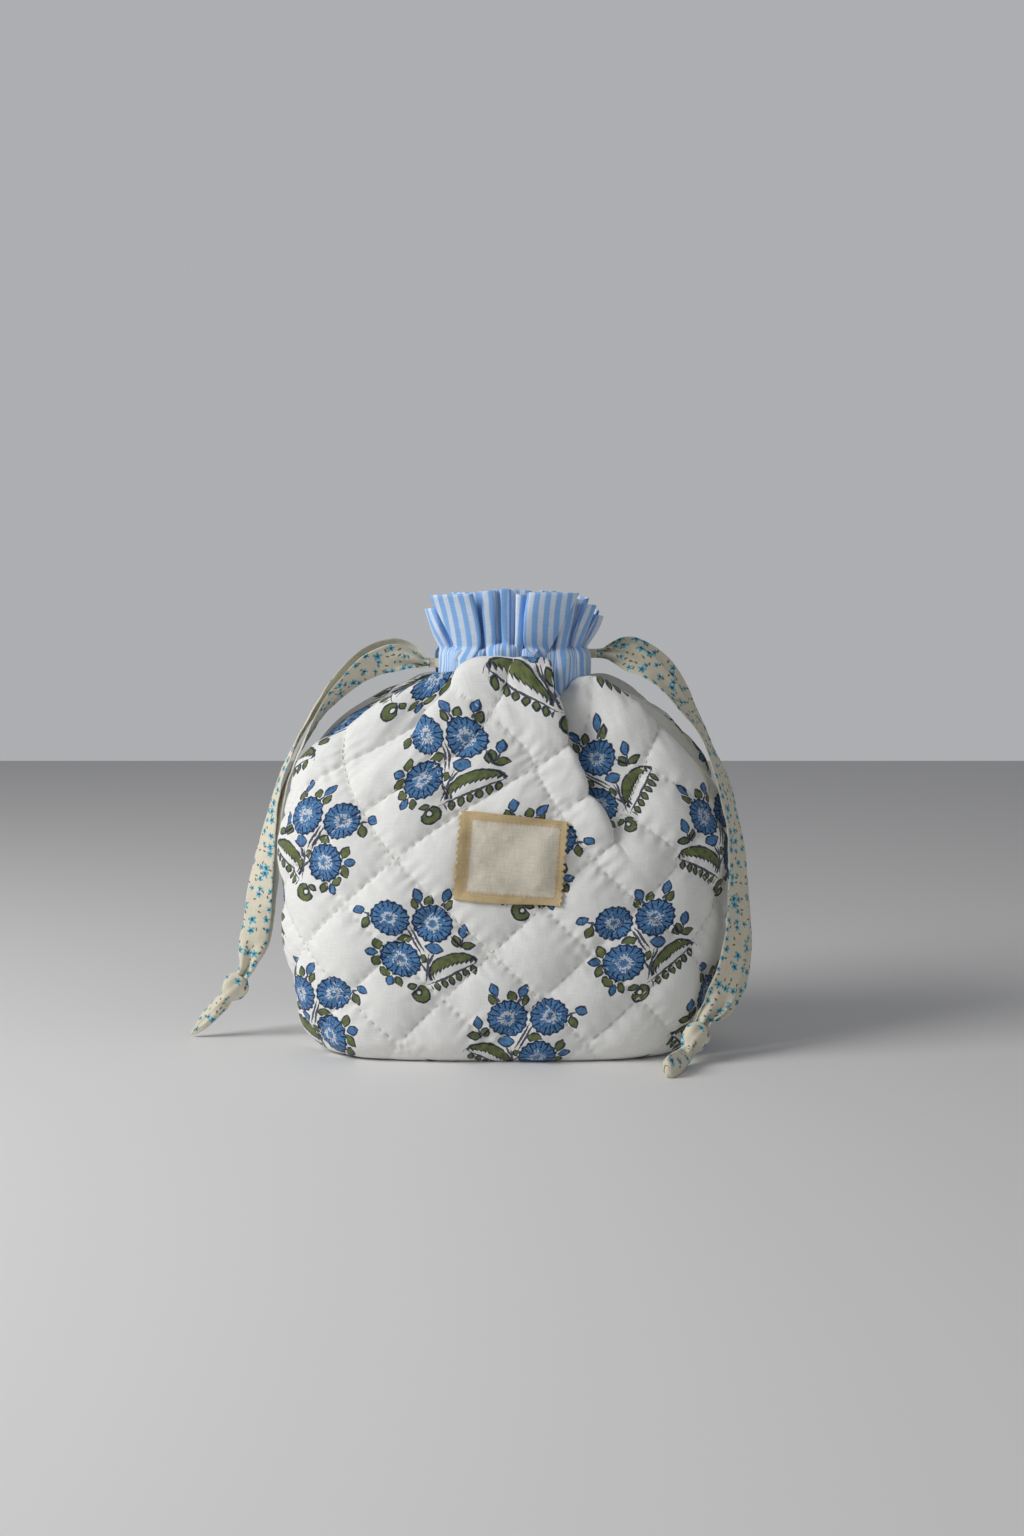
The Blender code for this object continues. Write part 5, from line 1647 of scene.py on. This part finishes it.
def label_grid():
    p = np.linspace(-0.5, 0.5, LABEL_COLUMNS)[None, :]
    q = np.linspace(-0.5, 0.5, LABEL_ROWS)[:, None]
    upward = q * LABEL_HEIGHT + 0 * p
    notch = np.abs((upward / PINK_PITCH + 40) % 1.0 - 0.5) * 2
    edge = smoothstep(0.46, 0.5, np.abs(p))
    fray = 0.0003 * soft_noise(upward / 0.0011, np.sign(p) * 3 + 0 * q, 131)
    across = p * LABEL_WIDTH - np.sign(p) * edge * (notch * PINK_DEPTH + fray)
    upward = upward + 0.0006 * np.sin(np.pi * 1.3 * (p + 0.5) + 0.4) * np.sign(q) * smoothstep(0.3, 0.5, np.abs(q))
    x = LABEL_X + across * math.cos(LABEL_TILT) - upward * math.sin(LABEL_TILT)
    z = LABEL_Z + across * math.sin(LABEL_TILT) + upward * math.cos(LABEL_TILT)
    seat = behind(x, z, FRONT_SURFACE) - LABEL_CLOTH / 2 - GAP
    level = seat.copy()
    for _ in range(LABEL_ROUNDS):
        wide = np.pad(level, 1, mode="reflect", reflect_type="odd")
        mean = (wide[2:, 1:-1] + wide[:-2, 1:-1] + wide[1:-1, 2:] + wide[1:-1, :-2]) / 4
        level = np.minimum(mean, seat)
    left, right, low, high = SEWN_BOX
    inside = np.minimum(np.minimum(across - left, right - across), np.minimum(upward - low, high - upward))
    puff = LABEL_PUFF * smoothstep(0, 0.009, inside) + MARGIN_PUFF * smoothstep(0, 0.004, -inside)
    puff = puff + 0.00035 * rough_noise(across / 0.008, upward / 0.008, 133) * smoothstep(0.0004, 0.004, np.abs(inside))
    points = np.stack([x, level - np.maximum(puff, 0), z], axis=-1)
    return points, np.stack([across, upward], axis=-1)


# %% Unbleached cotton
LABEL_CREAM = (0.68, 0.635, 0.52, 1)
LABEL_TAN = (0.58, 0.445, 0.24, 1)
CANVAS_PITCH = 0.62


def build_label_cotton():
    material, tree, shader, cloth = cloth_material("label_cotton", 0.88, 0.1)
    left, right, low, high = (1000 * value for value in SEWN_BOX)
    middle = ((left + right) / 2, (low + high) / 2)
    half = ((right - left) / 2 - 2.2, (high - low) / 2 - 2.2)
    x, y = parts_of(tree, arrow(tree, "SUBTRACT", cloth, (*middle, 0)))
    beyond_x = calculate(tree, "SUBTRACT", calculate(tree, "ABSOLUTE", x), half[0])
    beyond_y = calculate(tree, "SUBTRACT", calculate(tree, "ABSOLUTE", y), half[1])
    beyond = calculate(tree, "MAXIMUM", beyond_x, beyond_y)
    uneven = calculate(tree, "MULTIPLY_ADD", noise(tree, cloth, 2.4, 3.0), 1.6, beyond)
    margin = ease(tree, uneven, 1.4, 3.8)
    slubs = noise(tree, arrow(tree, "MULTIPLY", cloth, (0.25, 2.6, 1)), 1.0, 2.0)
    shade = calculate(tree, "MULTIPLY_ADD", slubs, 0.22, -0.11)
    colour = blend_colour(tree, calculate(tree, "ADD", margin, shade), LABEL_CREAM, LABEL_TAN)
    add_weave(tree, shader, cloth, CANVAS_PITCH, 0.40, 0.00018, colour, 0.14)
    return material


LABEL_COTTON = build_label_cotton()

# %% Make the label
label_points, label_cloth = label_grid()
solid, faces, place = thick_sheet(label_points[:, ::-1], label_cloth[:, ::-1], LABEL_CLOTH)
label = make_piece("sewn_label", solid, faces, place, material=LABEL_COTTON)
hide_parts("label")
print("label lies at y", np.round(label_points[..., 1].min() * 1000, 1), "mm at its foremost")

# %% [markdown]
# ## Threads
#
# The quilting is a running stitch by hand: a stitch on top, a gap where the thread runs
# below. Each stitch is a short capsule whose ends dive into the cloth. They are laid on
# the panel by finding the stitch line's place in its grid, so they follow every fold.

# %% Stitch values
STITCH_SHARE = 0.62
THREAD_RADIUS = 0.00026
CAPSULE_PROFILE = ((-1.0, 0.0), (-0.72, 0.8), (0.0, 1.0), (0.72, 0.8), (1.0, 0.0))
CAPSULE_SIDES = 6
STITCH_LIFT = 0.00012
STITCH_DIVE = 0.00034
STITCH_CHANCE = 0.985


def make_stitches(name, starts, ends, normals, radius, material):
    """Capsules from starts to ends, all of one mesh: a profile turned round their middle."""
    middle = (starts + ends) / 2
    along = ends - starts
    half = np.linalg.norm(along, axis=-1, keepdims=True) / 2
    along = unit(along)
    side = unit(np.cross(along, normals))
    up = np.cross(side, along)
    middle = middle + STITCH_LIFT * up
    rings = []
    angle = np.linspace(0, 2 * np.pi, CAPSULE_SIDES, endpoint=False)
    for reach, share in CAPSULE_PROFILE:
        centre = middle + along * half * reach - up * STITCH_DIVE * reach**2
        if share == 0:
            rings.append(centre[:, None])
            continue
        around = np.cos(angle)[None, :, None] * side[:, None] + np.sin(angle)[None, :, None] * up[:, None]
        rings.append(centre[:, None] + around * radius * share)
    points = np.concatenate(rings, axis=1)
    each = points.shape[1]
    first = np.arange(len(points))[:, None, None] * each
    ring = np.arange(CAPSULE_SIDES)
    ahead = (ring + 1) % CAPSULE_SIDES
    quads, fans = [], []
    for k in range(len(CAPSULE_PROFILE) - 3):
        low, high = 1 + k * CAPSULE_SIDES, 1 + (k + 1) * CAPSULE_SIDES
        quads.append(np.stack([low + ring, low + ahead, high + ahead, high + ring], axis=-1))
    last = 1 + (len(CAPSULE_PROFILE) - 3) * CAPSULE_SIDES
    fans.append(np.stack([0 * ring, 1 + ahead, 1 + ring], axis=-1))
    fans.append(np.stack([0 * ring + each - 1, last + ring, last + ahead], axis=-1))
    quads = (first + np.concatenate(quads)[None]).reshape(-1, 4)
    fans = (first + np.concatenate(fans)[None]).reshape(-1, 3)
    piece = make_piece(name, points.reshape(-1, 3), [quads, fans], material=material)
    print(f"{name}: {len(points)} stitches")
    return piece


def on_panel(panel, across, height):
    """Points and unit normals of the dressed panel at places on its cloth."""
    rows = panel["height"][panel["base"] :]
    grid = panel["points"][panel["base"] :]
    normals = grid_normals(grid)
    row = np.clip(np.interp(height, rows, np.arange(len(rows))), 0, len(rows) - 1.001)
    low = row.astype(int)
    share = row - low
    found = np.zeros((len(row), 6))
    for k, (r, t) in enumerate(zip(low, share)):
        both = []
        for index in (r, r + 1):
            line = np.concatenate([grid[index], normals[index]], axis=-1)
            places = panel["across"][panel["base"] + index]
            column = np.interp(across[k], places, np.arange(len(places)))
            c = min(int(column), len(places) - 2)
            both.append(line[c] + (column - c) * (line[c + 1] - line[c]))
        found[k] = both[0] + t * (both[1] - both[0])
    return found[:, :3], unit(found[:, 3:])


def quilting_places(side):
    """Start and end of every stitch on the cloth, for both families of lines."""
    left = SIDES[side] * FLAT_GIRTH + 0.006
    right = left + FLAT_GIRTH / 2 - 0.012
    step = STITCH_PITCH / (DIAMOND * math.sqrt(2))
    starts, ends = [], []
    for slope in (1, -1):
        for number in range(-14, 30):
            v = np.arange(0.1, WALL_LENGTH / DIAMOND, step)
            u = number - slope * v
            wobble = 0.010 * np.sin(v * 7.1 + number * 2.2) + 0.006 * np.sin(v * 17.3 + number)
            for share, keep in ((-0.5, starts), (0.5, ends)):
                at_v = v + share * step * STITCH_SHARE
                at_u = number - slope * at_v + wobble
                x = (at_u - DIAMOND_SHIFT) * DIAMOND + FLAT_GIRTH / 4
                y = at_v * DIAMOND + DIAMOND_START
                keep.append(np.stack([x, y], axis=-1))
    starts, ends = np.concatenate(starts), np.concatenate(ends)
    across, height = starts[:, 0], starts[:, 1]
    chosen = (across > left) & (across < right) & (height > 0.004) & (height < WALL_LENGTH - 0.010)
    chosen &= soft_noise(across / 0.0013, height / 0.0017, 151) > 1 - 2 * STITCH_CHANCE
    return starts[chosen], ends[chosen]


# %% Thread cotton
THREAD_WHITE = (0.74, 0.72, 0.66, 1)
THREAD_ROSE = (0.52, 0.30, 0.27, 1)


def build_thread(name, colour):
    material = bpy.data.materials.new(name)
    material.use_nodes = True
    shader = material.node_tree.nodes["Principled BSDF"]
    shader.inputs["Base Color"].default_value = colour
    shader.inputs["Roughness"].default_value = 0.7
    shader.inputs["Sheen Weight"].default_value = 0.3
    place = material.node_tree.nodes.new("ShaderNodeTexCoord").outputs["Object"]
    strands = noise(material.node_tree, arrow(material.node_tree, "SCALE", place, None, None, 1000.0), 0.35, 1.0)
    bump = material.node_tree.nodes.new("ShaderNodeBump")
    bump.inputs["Strength"].default_value = 0.5
    bump.inputs["Distance"].default_value = 0.00008
    put(material.node_tree, bump.inputs["Height"], strands)
    put(material.node_tree, shader.inputs["Normal"], bump.outputs[0])
    return material


THREADS = {"white": build_thread("white_thread", THREAD_WHITE), "rose": build_thread("rose_thread", THREAD_ROSE)}

# %% Quilting stitches
for side, panel in panels.items():
    starts, ends = quilting_places(side)
    first, normals = on_panel(panel, starts[:, 0], starts[:, 1])
    second, _ = on_panel(panel, ends[:, 0], ends[:, 1])
    real = np.linalg.norm(second - first, axis=-1)
    kept = (real > 0.0012) & (real < 0.0042)
    make_stitches(
        f"quilting_thread_{side}", first[kept], second[kept], normals[kept], THREAD_RADIUS, THREADS["white"]
    )

# %% Label stitches
LABEL_STITCH = 0.0021
left, right, low, high = SEWN_BOX
corners = np.array([(left, low), (right, low), (right, high), (left, high), (left, low)])
sides = np.linalg.norm(np.diff(corners, axis=0), axis=1)
run = np.concatenate([[0], np.cumsum(sides)])
at = np.arange(0.0008, run[-1], LABEL_STITCH)
starts = np.stack([np.interp(at, run, corners[:, k]) for k in range(2)], axis=-1)
ends = np.stack([np.interp(at + 0.75 * LABEL_STITCH, run, corners[:, k]) for k in range(2)], axis=-1)
label_normals = grid_normals(label_points)
label_normals = label_normals * np.sign(-label_normals[..., 1:2])


def on_label(places):
    """Points and normals on the label's face, nearest to places on its cloth."""
    column = np.clip((places[:, 0] / LABEL_WIDTH + 0.5) * (LABEL_COLUMNS - 1), 0, LABEL_COLUMNS - 1.001)
    row = np.clip((places[:, 1] / LABEL_HEIGHT + 0.5) * (LABEL_ROWS - 1), 0, LABEL_ROWS - 1.001)
    c, r = column.astype(int), row.astype(int)
    s, t = (column - c)[:, None], (row - r)[:, None]
    face = label_points + label_normals * LABEL_CLOTH / 2
    lower = face[r, c] + s * (face[r, c + 1] - face[r, c])
    upper = face[r + 1, c] + s * (face[r + 1, c + 1] - face[r + 1, c])
    return lower + t * (upper - lower), label_normals[r, c]


first, normals = on_label(starts)
second, _ = on_label(ends)
make_stitches("label_thread", first, second, normals, 0.00018, THREADS["rose"])

# %% [markdown]
# ## Cloth that is hardly seen
#
# The lining and the ribbon inside the channel keep the frame's own solids. Only a little
# of them shows, through the drawn neck, so a plain weave is enough. Its place is read from
# the object's own coordinates, because these solids have no cloth attribute.

# %% Lining and channel cotton
LINING_WHITE = (0.78, 0.77, 0.73, 1)
PLAIN_WEAVE_PITCH = 0.5


def build_plain_cotton(name, base):
    """Plain woven cotton on an object's own coordinates, with faint uneven shading."""
    material = bpy.data.materials.new(name)
    material.use_nodes = True
    tree = material.node_tree
    shader = tree.nodes["Principled BSDF"]
    shader.inputs["Roughness"].default_value = 0.9
    shader.inputs["Sheen Weight"].default_value = 0.1
    place = tree.nodes.new("ShaderNodeTexCoord").outputs["Object"]
    cloth = arrow(tree, "MULTIPLY", place, (1000, 1000, 1000))
    uneven = calculate(tree, "MULTIPLY", noise(tree, cloth, 9.0, 2.0), 0.3)
    shaded = tuple(0.8 * value for value in base[:3]) + (1,)
    colour = blend_colour(tree, uneven, base, shaded)
    add_weave(tree, shader, cloth, PLAIN_WEAVE_PITCH, 0.3, 0.00012, colour, 0.08)
    return material


UNDER_CLOTHS = {
    "lining_front": build_plain_cotton("lining_cotton", LINING_WHITE),
    "left_drawstring_channel": build_plain_cotton("channel_ribbon_cotton", RIBBON_CREAM),
}
UNDER_CLOTHS["lining_back"] = UNDER_CLOTHS["lining_front"]
UNDER_CLOTHS["right_drawstring_channel"] = UNDER_CLOTHS["left_drawstring_channel"]
for name, material in UNDER_CLOTHS.items():
    mesh = bpy.data.objects[name].data
    mesh.materials.clear()
    mesh.materials.append(material)
print("plain cotton on", sorted(UNDER_CLOTHS))

# %% Light, floor and size
FLOOR_SIZE = 3.0
KEY_PLACE = (-1.05, -0.50, 0.80)
KEY_SIZE = 0.7
KEY_POWER = 14.0
FILL_PLACE = (0.9, -0.7, 0.6)
FILL_SIZE = 1.2
FILL_POWER = 1.0
WORLD_LEVEL = 0.25
ROOM_COLOUR = (0.86, 0.88, 0.92, 1)
WALL_COLOUR = (0.42, 0.425, 0.44, 1)
FLOOR_COLOUR = (0.80, 0.79, 0.78, 1)

def make_light(name, place, size, power, target=(0, 0, 0.1)):
    lamp = bpy.data.lights.new(name, "AREA")
    lamp.energy = power
    lamp.size = size
    lamp_object = bpy.data.objects.new(name, lamp)
    lamp_object.location = place
    aim = np.array(target) - np.array(place)
    flat = math.hypot(aim[0], aim[1])
    lamp_object.rotation_euler = (math.atan2(flat, -aim[2]), 0, math.atan2(aim[1], aim[0]) - math.pi / 2)
    bpy.context.scene.collection.objects.link(lamp_object)
    return lamp_object


make_light("window_light", KEY_PLACE, KEY_SIZE, KEY_POWER)
make_light("fill_light", FILL_PLACE, FILL_SIZE, FILL_POWER)
world = bpy.data.worlds.new("room")
bpy.context.scene.world = world
world.use_nodes = True
tree = world.node_tree
room = tree.nodes["Background"]
room.inputs["Color"].default_value = ROOM_COLOUR
room.inputs["Strength"].default_value = WORLD_LEVEL
wall = tree.nodes.new("ShaderNodeBackground")
wall.inputs["Color"].default_value = WALL_COLOUR
choice = tree.nodes.new("ShaderNodeMixShader")
seen = tree.nodes.new("ShaderNodeLightPath")
put(tree, choice.inputs[0], seen.outputs["Is Camera Ray"])
put(tree, choice.inputs[1], room.outputs[0])
put(tree, choice.inputs[2], wall.outputs[0])
put(tree, tree.nodes["World Output"].inputs[0], choice.outputs[0])

reach = FLOOR_SIZE / 2
floor_mesh = bpy.data.meshes.new("floor")
floor_mesh.from_pydata([(-reach, -reach, 0), (reach, -reach, 0), (reach, reach, 0), (-reach, reach, 0)], [], [(0, 1, 2, 3)])
floor = bpy.data.objects.new("floor", floor_mesh)
bpy.context.scene.collection.objects.link(floor)
floor_material = bpy.data.materials.new("pale_floor")
floor_material.use_nodes = True
tree = floor_material.node_tree
shader = tree.nodes["Principled BSDF"]
shader.inputs["Base Color"].default_value = FLOOR_COLOUR
shader.inputs["Roughness"].default_value = 0.6
floor_mesh.materials.append(floor_material)
